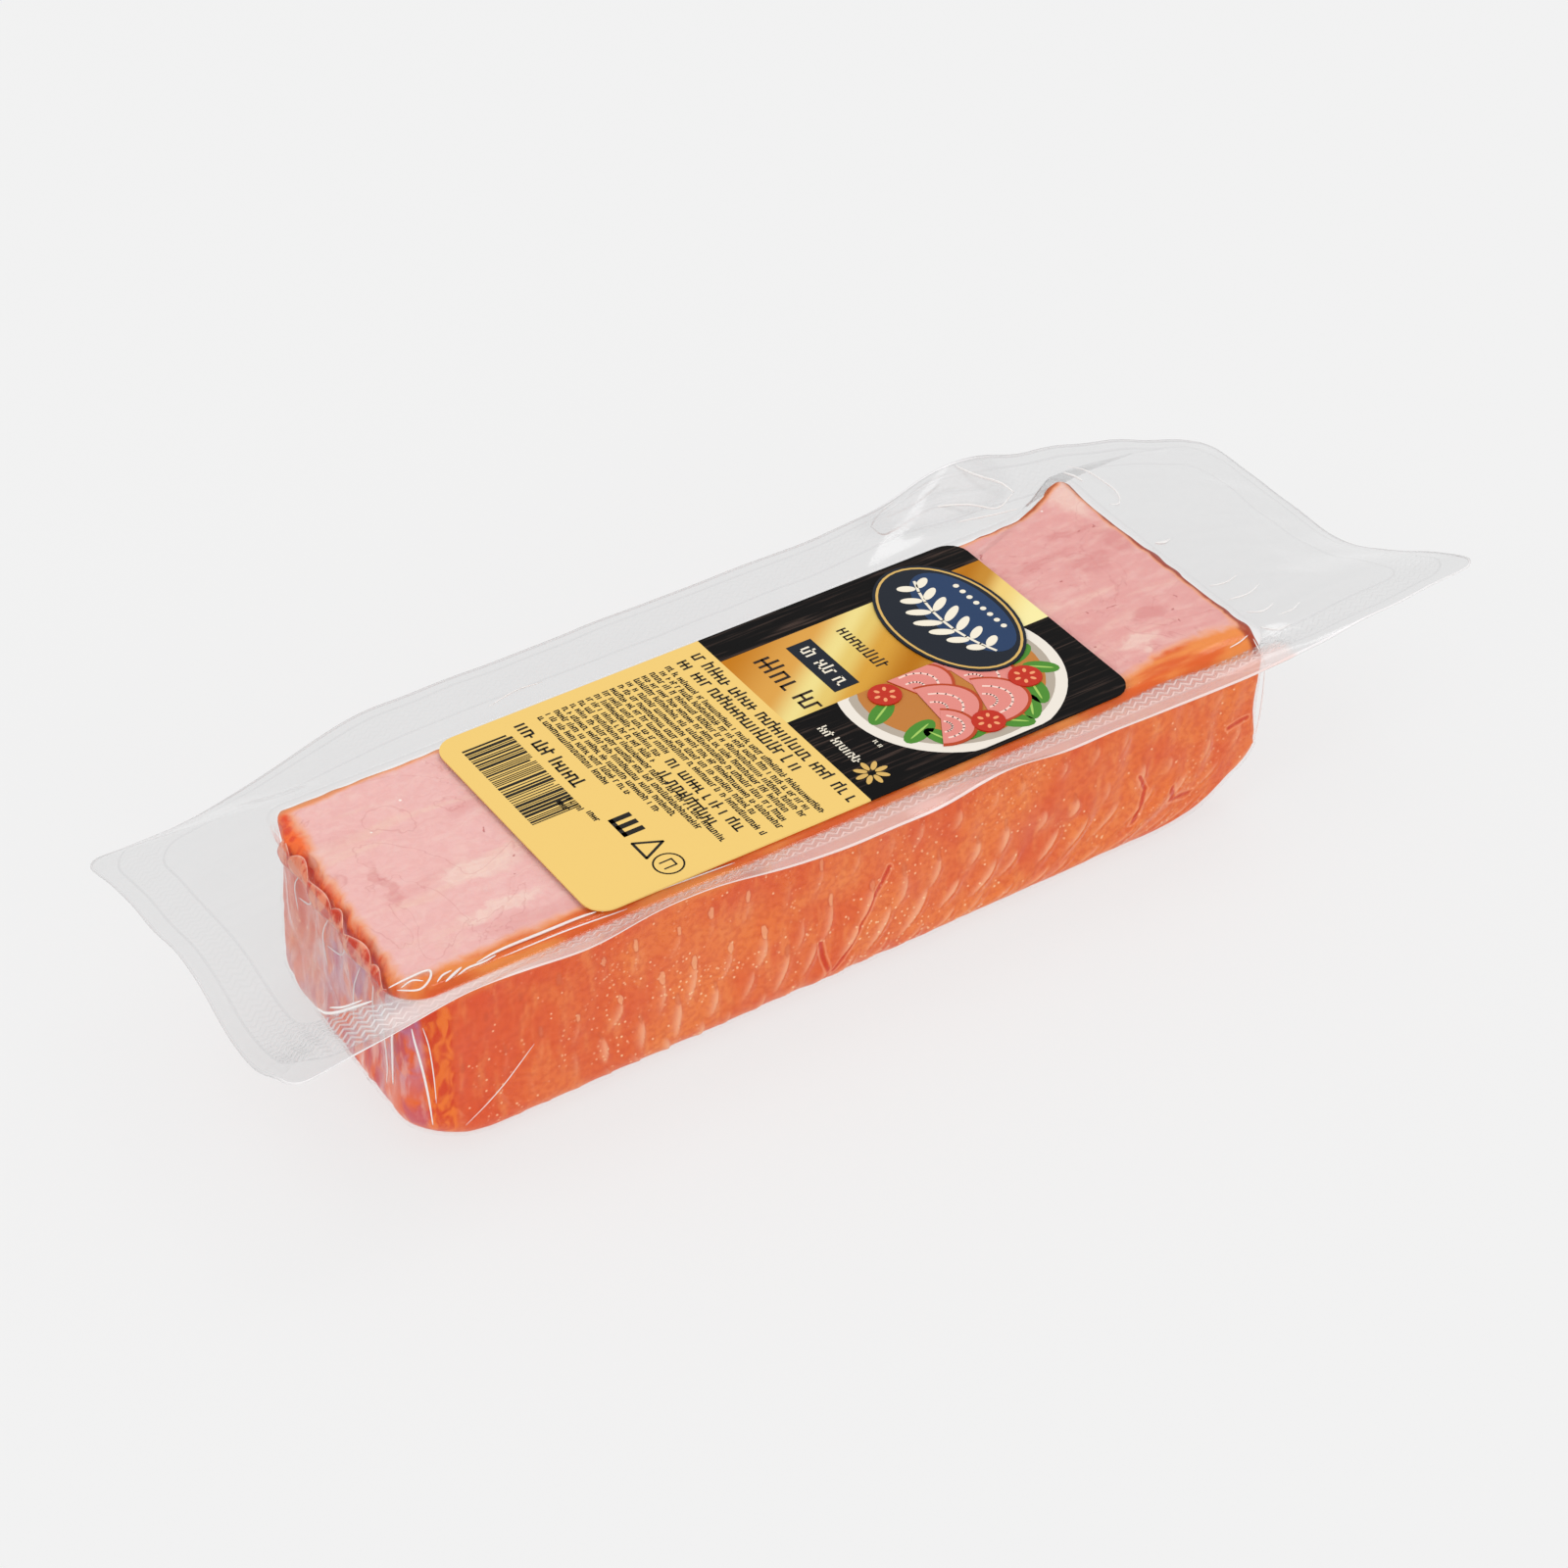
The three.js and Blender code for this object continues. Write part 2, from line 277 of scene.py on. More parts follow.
# %% Heights of the flat top and of the flange
def top_height(x, y):
    """Height of the film over the ham: flat, plus the turned-up corner, less the worn front edge."""
    ear = EAR_LIFT * hump(np.hypot(x - HAM_RIGHT, y - HAM_BACK - EAR_REACH), EAR_SIZE)
    bevel = smoothstep(x, 60, 74) * smoothstep(-y, -HAM_FRONT - BEVEL_WIDTH, -HAM_FRONT)
    return HAM_TOP + ear - BEVEL_DROP * bevel


def flange_lift(x, y):
    """Height of the flange's outer edge above the flat top, as the sum of its ripples and bends."""
    left, right, front, back = FLANGE
    hang = -FLANGE_DROP * (1 - smoothstep(y, front, back))
    front_share = hump(y - front, 8)
    front_ripple = front_share * sum(height * hump(x - at, width) for height, at, width in FRONT_RIPPLES)
    tent = TENT_HEIGHT * hump(x - TENT_AT, TENT_SIZE) * hump(y - back, TENT_SIZE)
    droop_share = lerp(0.5, 1, smoothstep(y, 20, 44)) * (1 - front_share)
    droop = DROOP * smoothstep(-x, 50, 92) * droop_share
    left_ripple = smoothstep(-x, 96, 3 - left) * sum(
        height * hump(y - at, width) for height, at, width in LEFT_RIPPLES)
    out = np.maximum(0, (x - HAM_RIGHT) / (right - HAM_RIGHT))
    right_end = lerp(CURL_UP * out, CURL_DOWN * out ** 1.5, smoothstep(y, front - 5, 8))
    return hang + front_ripple + tent - droop + left_ripple + right_end


def weld_creep(x, y):
    """How far back in mm the weld reaches over the ham along the front, more so at its right."""
    creep = lerp(WELD_CREEP, WELD_CREEP_RIGHT, smoothstep(x, 45, 66))
    return creep * smoothstep(-y, -HAM_FRONT - 9, -HAM_FRONT)


def step_line(steps, grow):
    """The outline at the top of the step (grown by less than nothing) or at its foot."""
    line = ham_outline(steps, grow=grow, ear_share=1)
    line[:, 1] += weld_creep(*line.T)
    return line


def rim_height(x, y):
    """Height of the line where the film leaves the ham: a step below the top, half as deep at the back."""
    return top_height(x, y) - STEP_DOWN * lerp(1, 0.5, smoothstep(y, 0, HAM_BACK))


# %% Pleats, and the rounded underside
def pleats(x, y, z):
    """How far the left end's film folds inwards: cosine folds side by side, deepest under the flange."""
    on_left = smoothstep(-x, -HAM_LEFT - HAM_SKEW - 4, -HAM_LEFT - HAM_SKEW)
    depth = PLEAT_DEPTH * on_left * smoothstep(z, LEFT_RISE, HAM_TOP - 6)
    return depth * (0.5 + 0.5 * np.cos(2 * math.pi * y / PLEAT_PITCH))


def draw_in(z, run, rise):
    """How far the outline has drawn in at height z: a quarter ellipse, run long and rise high."""
    share = np.maximum(0, (rise - z) / rise)
    return run * (1 - np.sqrt(1 - share * share))


def base_outline(steps, z, grow):
    """The block's outline at a height below RIGHT_RISE."""
    return ham_outline(
        steps, grow=grow, left_in=draw_in(z, LEFT_RUN, LEFT_RISE),
        right_in=draw_in(z, RIGHT_RUN, RIGHT_RISE), sides_in=draw_in(z, SIDE_RUN, SIDE_RISE),
        base_share=1 - z / RIGHT_RISE)


# %% Rings
def with_height(outline, z):
    """(n, 2) points and a height, or n heights, made (n, 3) points."""
    return np.column_stack([outline, np.broadcast_to(z, len(outline))])


def outward(ring):
    """Unit vectors (n, 2) that point away from the block: each ring's own direction, turned a quarter."""
    along = np.roll(ring[:, :2], -1, axis=0) - np.roll(ring[:, :2], 1, axis=0)
    along /= np.linalg.norm(along, axis=1)[:, None]
    return np.stack([along[:, 1], -along[:, 0]], axis=1)


LEFT_END_RUN = (301, 344)  # where the left end lies, as a distance in mm round the wall
WALL_ROUND = 433.2  # mm once round the wall


def run_along(steps):
    """Distance in mm round the wall for each column of points. It equals x at the front, runs on round
    the right end and the back, and jumps at the front of the left end."""
    ring = ham_outline(steps)
    legs = np.linalg.norm(np.roll(ring, -1, axis=0) - ring, axis=1)
    run = ring[0, 0] + np.concatenate([[0], np.cumsum(legs)[:-1]])
    return np.where(run > LEFT_END_RUN[1], run - legs.sum(), run)


# %% [markdown]
# ## The marks on the ham's side
#
# The ham was smoked hanging in a net, whose knots left rows of marks. Each mark is a small pale oval
# with a curved streak below it, sharp at its right edge and fading to the left. The streaks' pale colour
# is partly the net's mark and partly a painted highlight on the small bulge that each streak lies on.
# `net_marks` lays out the rows, every second one shifted by half a mesh, with a little chance in each
# mark's place and strength, so the lattice is regular and still looks handmade. Creases and folds
# follow paths of their own.

# %% Relief of the walls
NET_PITCH = 6.95  # mm between the net's knots along the wall
NET_START = -7.9  # x of one knot of the top row
NET_KNOTS = 140  # knots with chances of their own, after which they repeat
NET_ROWS = (  # height of the knots, length of the streaks; strength of ovals, and of streaks left and right
    (28, 6, 0.5, 0.45, 0.65), (19.2, 7.5, 0.7, 0.8, 1), (13.2, 8, 0.3, 1, 1), (6.2, 5.5, 0.15, 0.9, 0.9))
CREASES = (  # x and z of the dark creases in the front wall
    ((77.4, 19.7), (81.7, 20.2)),
    ((58.2, 17.5), (60.5, 12.2), (63.2, 8)),
    ((66.7, 12.3), (70, 9.4), (75.1, 8.8)),
    ((-7.3, 11.7), (-5.6, 8), (-3.4, 4.8)),
    ((6.1, 21.5), (3.2, 17.3), (0.9, 12.5), (-0.2, 7.7), (-1.8, 4.3)),
)


def net_marks(run, z):
    """Strength 0..1 of the ovals and of the streaks. A streak's middle line bulges to the right by a
    half sine; across it the strength falls off as a narrow bell on the right and slowly on the left."""
    rng = np.random.default_rng(7)
    ovals = np.zeros(np.broadcast(run, z).shape)
    streaks = np.zeros_like(ovals)
    calm = (0.35 + 0.65 * smoothstep(run, -66, -40)) * (1 - 0.3 * smoothstep(run, 35, 60))
    soft, to_right = smoothstep(run, 0, 40), smoothstep(run, -20, 10)
    for row, (head, length, oval_power, streak_left, streak_right) in enumerate(NET_ROWS):
        jitter, size, power, lean = rng.random((4, NET_KNOTS))
        at = (run - NET_START) / NET_PITCH + 0.5 * row
        for step in (-1, 0, 1):
            knot = np.round(at).astype(int) + step
            pick = knot % NET_KNOTS
            x0 = NET_START + NET_PITCH * (knot - 0.5 * row) + 2.0 * (jitter[pick] - 0.5)
            z0 = head + 1.4 * (size[pick] - 0.5) + 0.012 * (run + 20)
            down = (z0 - z) / (length * (0.75 + 0.5 * size[pick]) * lerp(1, 0.72, soft))
            t = np.clip(down, 0, 1)
            leaning = (1.2 + 1.4 * lean[pick]) * t * lerp(1, 0.7, soft)
            across = run - (x0 + 0.9 * np.sin(math.pi * t) - leaning)
            side = np.where(across > 0, hump(across, lerp(0.36, 0.55, soft)),
                            np.exp(np.minimum(across, 0) / 1.3))
            streak = side * np.sin(math.pi * t) ** 0.6 * (0.6 + 0.4 * power[pick])
            streaks = np.maximum(streaks, streak * lerp(streak_left, streak_right, to_right))
            far = np.hypot((run - x0) / (0.42 + 0.2 * size[pick]), (z - z0) / (0.9 + 0.7 * size[pick]))
            oval = smoothstep(-far, -1.25, -0.75) * (power[pick] > 0.25)
            ovals = np.maximum(ovals, oval * (oval_power * lerp(1, 0.4, to_right)))
    return ovals * calm, streaks * calm


def crease_marks(run, z):
    """1 in the middle of each crease, falling to 0 about 1 mm away."""
    return np.max([hump(path_distance(run, z, path), 0.5) for path in CREASES], axis=0)


def wall_relief(run, z):
    """Distance in mm that the wall stands in or out: soft bulges, the net's marks, less the creases,
    with sharper wrinkles on the left end, and nothing at the jump of run."""
    ovals, streaks = net_marks(run, z)
    dimples = (0.1 + 0.09 * smoothstep(run, 5, 40)) * soft_noise(run, z * 0.6, 6, seed=4)
    bulges = smoothstep(z, -4, 14) * (0.24 * soft_noise(run, z, 17, seed=3) + dimples)
    start, end = LEFT_END_RUN
    wrinkles = smoothstep(run, start - 3, start + 3) * (
        0.5 - np.abs(soft_noise(run, z * 0.5, 7, seed=8, waves=9)))
    jump = end - WALL_ROUND
    calm = 1 - smoothstep(run, end - 4, end) - (1 - smoothstep(run, jump, jump + 4))
    return calm * (bulges + 0.15 * ovals + 0.6 * streaks - 0.15 * crease_marks(run, z)
                   + 0.3 * wrinkles)


print("net:", len(NET_ROWS), "rows of marks,", round(WALL_ROUND / NET_PITCH), "to a row")


# %% [markdown]
# ## Adding a material
#
# A material is a graph of nodes, which can be drawn by hand in Blender's shader editor. Here one small
# function, `add`, puts in a node, sets it and links others into it, so that a graph reads from top to
# bottom and can be made again at any time. `NODES` lists the kinds of node in use under short names.
# Colours are written as they look on a screen (sRGB), and one function turns them to the linear values
# that light adds up in.

# %% Material tools
SUMS = ("add", "subtract", "multiply", "multiply_add", "power", "absolute", "pingpong",
        "greater_than", "less_than")
VECTOR_SUMS = ("subtract", "multiply", "divide", "multiply_add", "scale")
NODES = {  # for each name: Blender's name for the node, its settings, and the output that is used
    **{name: ("Math", {"operation": name.upper()}, 0) for name in SUMS},
    **{"vector " + name: ("VectorMath", {"operation": name.upper()}, 0) for name in VECTOR_SUMS},
    "vector length": ("VectorMath", {"operation": "LENGTH"}, 1),
    "ease": ("MapRange", {"interpolation_type": "SMOOTHSTEP"}, 0),
    "mix": ("Mix", {"data_type": "RGBA"}, 2),
    "object place": ("TexCoord", {}, 3),
    "mesh number": ("Attribute", {}, 2),
    "layer weight": ("LayerWeight", {}, 1),
    "colour ramp": ("ValToRGB", {}, 0),
    "noise": ("TexNoise", {}, 0),
    "cells": ("TexVoronoi", {}, 0),
    "separate": ("SeparateXYZ", {}, 0),
    "combine": ("CombineColor", {}, 0),
    "bump": ("Bump", {}, 0),
    "principled": ("BsdfPrincipled", {}, 0),
    "diffuse": ("BsdfDiffuse", {}, 0),
    "glossy": ("BsdfGlossy", {}, 0),
    "transparent": ("BsdfTransparent", {}, 0),
    "emission": ("Emission", {}, 0),
    "mix shader": ("MixShader", {}, 0),
    "add shader": ("AddShader", {}, 0),
    "output": ("OutputMaterial", {}, None),
}


def colour(text):
    """An sRGB hex colour as linear red, green, blue and 1."""
    values = [int(text[i:i + 2], 16) / 255 for i in (1, 3, 5)]
    return [v / 12.92 if v <= 0.04045 else ((v + 0.055) / 1.055) ** 2.4 for v in values] + [1]


def new_material(name):
    """A node material with nothing in it yet."""
    material = bpy.data.materials.new(name)
    material.use_nodes = True
    material.node_tree.nodes.clear()
    return material


def add(material, name, *values, **more):
    """Adds one node and gives the output that is used. The values go to the node's inputs in their order.
    In more, a name with a capital letter is an input, with _ for a space, and any other is a setting.
    A value that is an output of another node is linked, and any other is set."""
    kind, settings, used = NODES[name]
    node = material.node_tree.nodes.new("ShaderNode" + kind)
    inputs = {key: value for key, value in more.items() if key[0].isupper()}
    settings = {**settings, **{key: value for key, value in more.items() if key not in inputs}}
    for key, value in settings.items():
        setattr(node, key, value)
    filled = list(zip((socket for socket in node.inputs if socket.enabled), values))
    filled += [(node.inputs[key.replace("_", " ")], value) for key, value in inputs.items()]
    for socket, value in filled:
        if isinstance(value, bpy.types.NodeSocket):
            material.node_tree.links.new(value, socket)
        else:
            socket.default_value = value
    return None if used is None else node.outputs[used]


print("kinds of node:", len(NODES), "and white is", colour("#ffffff"))

# %% [markdown]
# Four patterns are put together from such nodes, all in millimetres on the object: the place itself,
# lumps of noise, small dots in random cells, and a soft spot at a given place.

# %% Patterns in millimetres
def place(material):
    """The place on the object in millimetres, and its x, y and z."""
    where = add(material, "vector scale", add(material, "object place"), 1 / MM)
    return where, *add(material, "separate", where).node.outputs


def lumps(material, where, size, stretch=(1, 1, 1), detail=2.0, warp=0.0):
    """Noise whose lumps are about size mm, stretched along the axes by the given shares."""
    scaled = add(material, "vector multiply", where, [1 / (size * share) for share in stretch])
    return add(material, "noise", scaled, Scale=1.0, Detail=detail, Distortion=warp)


def dots(material, where, size, radius):
    """1 in small round dots, one in each random cell of about size mm; radius is a share of the cell."""
    middle = add(material, "cells", where, Scale=1 / size)
    return add(material, "ease", middle, radius * 0.6, radius, 1, 0)


def spot(material, where, centre, radii):
    """1 at a centre, falling to 0 at the edge of an ellipsoid, all in mm."""
    away = add(material, "vector divide", add(material, "vector subtract", where, centre), radii)
    return add(material, "ease", add(material, "vector length", away), 0.45, 1, 1, 0)


# %% [markdown]
# ## The finish of the ham
#
# Cooked, cured pork: the cut face on top is pale pink, with creamy streaks of fat and fine pores, and
# the sides are smoked skin, salmon to orange. It could be painted on an image, but noise in real sizes
# stays sharp at any distance and has no seams. A colour is built up as a painter would: a ground, and
# then one thin layer after another, each with the share of the ground that it covers. Wet meat has a
# roughness near 0.4, and light goes about a millimetre in. Its own gloss is set low, because under the
# film it is the film that shines.

# %% Cut face
FAT_SPOTS = (  # centre and reach in mm of the clear patches of fat in the cut face
    ((81.2, 25, 37), (4.5, 7, 6)), ((-58, -5, 36), (10, 3.2, 4)), ((-60, -15, 36), (10, 2, 4)),
    ((66, -15, 36), (6, 2.4, 4)))
ROSY_SPOTS = (  # centre and reach in mm of the darker patches of lean meat
    ((73.5, 8.6, 36), (5.5, 3.6, 4)), ((81, 11.5, 36), (3, 6, 4)), ((72.5, -9.5, 36), (4.5, 2.4, 4)),
    ((63, 13.4, 36), (13, 1.5, 4)), ((75.5, 17.5, 36), (6, 1.6, 4)), ((-72.4, 0, 36), (1.4, 8, 4)))


def cut_face(m, where, x):
    """Pink meat, paler at the left: blotches, creamy streaks, patches of lean and fat with ragged edges,
    thin veins, a fine grain, and a few dark and pale pores."""
    stir = lumps(m, where, 4, detail=4).node.outputs["Color"]
    ragged = add(m, "vector multiply_add", stir, (7, 7, 0), where)
    ragged = add(m, "vector subtract", ragged, (3.5, 3.5, 0))
    blotch = lumps(m, where, 20, stretch=(1.4, 0.7, 1), detail=4, warp=0.7)
    cream = lumps(m, where, 12, stretch=(2.4, 0.6, 1), detail=5, warp=1.0)
    vein = add(m, "absolute", add(m, "subtract", lumps(m, where, 17, detail=4, warp=1.4), 0.5))
    fine = lumps(m, where, 2.6, stretch=(1.8, 0.8, 1), detail=5)
    finest = lumps(m, ragged, 1.2, stretch=(1.6, 0.9, 1), detail=4)
    layers = [(add(m, "ease", blotch, 0.46, 0.68, 0, 0.4), "#dc918d"),
              (add(m, "ease", cream, 0.54, 0.72, 0, 0.75), "#efc5b6")]
    layers += [(add(m, "multiply", spot(m, ragged, *at), 0.5), "#d58380") for at in ROSY_SPOTS]
    layers += [(add(m, "multiply", spot(m, ragged, *at), 0.6), "#f4dacb") for at in FAT_SPOTS]
    layers += [(add(m, "ease", vein, 0, 0.011, 0.3, 0), "#c86f6c"),
               (add(m, "ease", fine, 0.45, 0.7, 0, 0.3), "#f3cfc4"),
               (add(m, "ease", finest, 0.4, 0.62, 0, 0.15), "#dc8d88"),
               (add(m, "multiply", dots(m, ragged, 4.2, 0.1), 0.75), "#b95d5b"),
               (add(m, "multiply", dots(m, where, 6.5, 0.05), 0.9), "#fdf0e8")]
    cut = add(m, "mix", add(m, "ease", x, -40, 60), colour("#eebab5"), colour("#e5a5a0"))
    for share, tone in layers:
        cut = add(m, "mix", share, cut, colour(tone))
    return cut


# %% Smoked skin
def smoked_skin(m, where, x, y, z, mottle):
    """Salmon to orange, redder at the left and near the top: a fibrous grain, the net's pale ovals with a
    darker ring and pale streaks that are partly a painted highlight, crumbs of spice, a fiery stripe by
    the front left corner, and dark red creases."""
    streak, knot, crease = (
        add(m, "mesh number", attribute_name=name) for name in ("streak", "oval", "crease"))
    patches = lumps(m, where, 19, stretch=(1, 1, 0.8), detail=4, warp=0.8)
    redder = add(m, "add", add(m, "ease", x, -50, -78, 0, 0.55), add(m, "ease", z, 26, 33, 0, 0.2))
    pinker = lumps(m, where, 26, detail=2, warp=0.5)
    fibre = lumps(m, where, 4, stretch=(0.6, 0.6, 2.4), detail=5)
    grain = lumps(m, where, 1.1, detail=4)
    ring = add(m, "multiply", add(m, "ease", knot, 0.04, 0.25), add(m, "ease", knot, 0.25, 0.55, 1, 0))
    strewn = add(m, "ease", lumps(m, where, 11, detail=2), 0.46, 0.6, 0, 0.8)
    lower = add(m, "multiply", add(m, "ease", z, 30, 12, 0.35, 1), add(m, "ease", x, 25, 60, 1, 0.4))
    crumbs = add(m, "multiply", add(m, "multiply", dots(m, where, 1.1, 0.25), strewn), lower)
    stripe = add(m, "multiply", add(m, "ease", x, -75.6, -76.8), add(m, "ease", y, -21, -24))
    worn = add(m, "ease", lumps(m, where, 5, stretch=(1, 1, 2), detail=4), 0.35, 0.6, 0.7, 1)
    beside = add(m, "multiply", add(m, "ease", crease, 0.02, 0.2), add(m, "ease", crease, 0.2, 0.5, 1, 0))
    layers = (
        (redder, colour("#e2471c")),
        (add(m, "ease", pinker, 0.52, 0.7, 0, 0.4), colour("#de5a38")),
        (add(m, "ease", fibre, 0.48, 0.72, 0, 0.45), colour("#f29552")),
        (add(m, "ease", grain, 0.42, 0.62, 0, 0.34), colour("#cf3f16")),
        # partly painted highlight: the pale streaks of the net's marks, bright where their bulges face the
        # light
        (add(m, "ease", streak, 0.08, 0.8, 0, 0.85), colour("#f7b18a")),
        (add(m, "multiply", ring, 0.4), colour("#c8502a")),
        (add(m, "ease", knot, 0.2, 0.5, 0, 0.6), colour("#f8b688")),
        (crumbs, colour("#fdd2a2")),
        (add(m, "multiply", dots(m, where, 2.4, 0.11), 0.7), colour("#fdd3a6")),
        (add(m, "multiply", stripe, worn), add(m, "mix", mottle, colour("#d83c04"), colour("#ee7420"))),
        (add(m, "multiply", beside, 0.45), colour("#f5a67c")),
        (add(m, "ease", crease, 0.4, 0.85, 0, 0.8), colour("#cc2a00")))
    skin = add(m, "mix", add(m, "ease", patches, 0.38, 0.62), colour("#e3632c"), colour("#ec7d3a"))
    for share, tone in layers:
        skin = add(m, "mix", share, skin, tone)
    return skin


# %% Left end and rim
def wrapped_end(m, where, y, z):
    """The left end under its crumpled film: deep pink with orange and pale patches, a painted violet sheen
    higher up that stands for the film's rainbow sheen, and milkier towards the back."""
    patches = lumps(m, where, 6, stretch=(1, 0.7, 1.6), detail=4, warp=1.0)
    pale = lumps(m, where, 3.2, stretch=(1, 0.6, 2), detail=4)
    # painted sheen: violet patches for the rainbow sheen of the film over the end
    violet_sheen = lumps(m, where, 9, stretch=(1, 0.8, 1), detail=3, warp=0.8)
    violet_sheen = add(m, "multiply", add(m, "ease", violet_sheen, 0.48, 0.6, 0, 0.5), add(m, "ease", z, 12, 21, 0.1, 1))
    end = add(m, "mix", add(m, "ease", patches, 0.38, 0.55), colour("#cc4e58"), colour("#ea6226"))
    for share, tone in ((add(m, "ease", pale, 0.5, 0.66, 0, 0.5), "#f2c4b8"), (violet_sheen, "#ac84b4"),
                        (add(m, "ease", y, -2, 14, 0, 0.35), "#ecd2cc")):
        end = add(m, "mix", share, end, colour(tone))
    return end


def skin_rim(m, where, x, y, mottle):
    """The skin's edge beside the cut face: orange, fiery at the left end, browner along the back towards
    the right, and dark red at the right end."""
    patches = lumps(m, where, 5, stretch=(2.5, 0.5, 1), detail=4)
    fiery = add(m, "multiply", add(m, "ease", x, -74, -77.5, 0, 0.95), add(m, "ease", y, -22, -13, 0.25, 1))
    layers = (
        (fiery, add(m, "mix", mottle, colour("#e24008"), colour("#f56a24"))),
        (add(m, "ease", y, 23.4, 25, 0, 0.8),
         add(m, "mix", add(m, "ease", x, -30, 30), colour("#e39a68"), colour("#b9521e"))),
        (add(m, "ease", x, 81.5, 82.6, 0, 0.9), colour("#a02c0e")))
    rim = add(m, "mix", add(m, "ease", patches, 0.38, 0.62), colour("#df5f1a"), colour("#ec8c40"))
    for share, tone in layers:
        rim = add(m, "mix", share, rim, tone)
    return rim


# %% [markdown]
# The parts meet where the mesh says: a number on its points, `rind_edge`, is the distance inside the
# skin's edge. Noise makes that edge ragged, creamy first and then orange.

# %% Ham finish
def ham_finish():
    """Cured pork, cut on top and smoked at the sides: pink to orange, soft sheen, some scattering."""
    m = new_material("cured smoked pork")
    where, x, y, z = place(m)
    mottle = lumps(m, where, 2.4, stretch=(0.8, 0.8, 1.7), detail=5, warp=0.8)
    mottle = add(m, "ease", mottle, 0.4, 0.6)
    on_end = add(m, "multiply", add(m, "ease", x, -79.8, -81.2, 0, 0.9), add(m, "ease", y, -26.4, -24.6))
    skin = add(m, "mix", on_end, smoked_skin(m, where, x, y, z, mottle), wrapped_end(m, where, y, z))
    side = add(m, "mix", add(m, "ease", z, 31.5, 34.5), skin, skin_rim(m, where, x, y, mottle))
    ragged = add(m, "subtract", lumps(m, where, 3.2, detail=5, warp=0.6), 0.5)
    inside = add(m, "mesh number", attribute_name="rind_edge")
    inside = add(m, "add", inside, add(m, "multiply", ragged, 2.8))
    surface = add(m, "mix", add(m, "ease", inside, -1.4, 0.2), side, colour("#efa57e"))
    surface = add(m, "mix", add(m, "ease", inside, -0.5, 1.3), surface, cut_face(m, where, x))
    bump = add(m, "bump", Strength=0.4, Distance=0.0004, Height=lumps(m, where, 1.3, detail=4))
    add(m, "output", add(
        m, "principled", Base_Color=surface, Roughness=0.45, Normal=bump, Specular_IOR_Level=0.1,
        Subsurface_Weight=0.1, Subsurface_Radius=(1.0, 0.45, 0.3), Subsurface_Scale=0.0015))
    return m


pork = ham_finish()
print(pork.name, "is a graph of", len(pork.node_tree.nodes), "nodes")

# %% [markdown]
# ## The ham block
#
# A block of meat has no straight edge and no flat side, so a cube with a bevel would look wrong. The
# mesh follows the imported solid, 0.35 mm inside the film. Its top edge is rounded, sharply at the right
# and widely at the left, and pressed down a little where the weld creeps over it. Each point carries
# numbers for the finish: the net's marks, how close a crease is, and how far it lies inside the skin's
# edge.

# %% Edge of the cut face
HAM_GAP = 0.35  # mm that the ham stands inside the pocket
HAM_STEPS = (420, 80, 160, 12)  # points along the front, each end, the back and each corner
SHRINK = 0.12  # mm that the wall's relief is set back, so that its marks stay under the film
EDGE_RINGS = 8  # rings over the rounded edge
CUT_SIZES = (0.05, 0.25, 0.45, 0.6, 0.72, 0.8, 0.86, 0.9, 0.93, 0.955, 0.975, 0.99, 1)


def pressed(x, y):
    """How far in mm the creeping weld presses the front edge down: the same step as in the film."""
    foot = -HAM_FRONT + STEP_OUT - weld_creep(x, np.full_like(x, HAM_FRONT))
    return STEP_DOWN * smoothstep(-y, foot - STEP_OUT - 0.8, foot)


def rind_inside(x, y):
    """Distance in mm inside the skin's edge on the cut face: to the nearest side, less the skin's width."""
    from_front = y - HAM_FRONT - 5 - 2.7 * smoothstep(x, 56, 68) + 1.8 * smoothstep(x, 76, 84)
    ear = EAR_REACH * hump(x - HAM_RIGHT, EAR_SIZE)
    from_back = 2 * (HAM_BACK + ear - y - 1.5 - 0.8 * smoothstep(-x, 66, 76))
    from_left = x - left_edge(y) - 2.3 - 1.3 * smoothstep(y, 8, 24)
    from_right = 2.4 * (HAM_RIGHT - x - 1.8)
    return np.minimum(np.minimum(from_front, from_back), np.minimum(from_left, from_right))


# %% Rings of the ham
def ham_top_rings(wall):
    """The flat cut face, as its outline scaled towards the middle, and the rounded edge round it, as a
    quarter circle whose radius grows along the front and at the left."""
    away = outward(wall)
    x, y = wall.T
    radius = 0.9 + 1.1 * smoothstep(-y, 20, 25) + 2 * smoothstep(-x, 74, 80) * smoothstep(-y, -19, -12)
    cut = wall - away * radius[:, None]
    rings = []
    for size in CUT_SIZES:
        flat = cut * size
        uneven = 0.05 * soft_noise(*flat.T, 9, seed=11)
        rings.append(with_height(flat, top_height(*flat.T) - HAM_GAP - pressed(*flat.T) + uneven))
    for angle in np.linspace(0, math.pi / 2, EDGE_RINGS + 1)[1:]:
        flat = cut + away * radius[:, None] * math.sin(angle)
        drop = radius * (1 - math.cos(angle)) + pressed(*flat.T) + HAM_GAP
        rings.append(with_height(flat, top_height(*flat.T) - drop))
    return rings


def ham_wall_rings(start):
    """The walls, straight down from heights start while the turned-up corner fades, then the rounded
    underside, and the flat middle below."""
    rings = []
    for level in np.linspace(1, 0, 47)[1:]:
        shaped = ham_outline(HAM_STEPS, grow=-HAM_GAP, ear_share=smoothstep(level, 0.3, 1))
        rings.append(with_height(shaped, lerp(RIGHT_RISE, start, level)))
    for z in np.concatenate([np.linspace(RIGHT_RISE, SIDE_RISE, 14)[1:],
                             SIDE_RISE * np.linspace(1, 0, 13)[1:] ** 1.7]):
        rings.append(with_height(base_outline(HAM_STEPS, z, -HAM_GAP), z + HAM_GAP))
    for size in (0.85, 0.6, 0.3):
        rings.append(with_height(base_outline(HAM_STEPS, 0, -HAM_GAP) * size, HAM_GAP))
    return rings


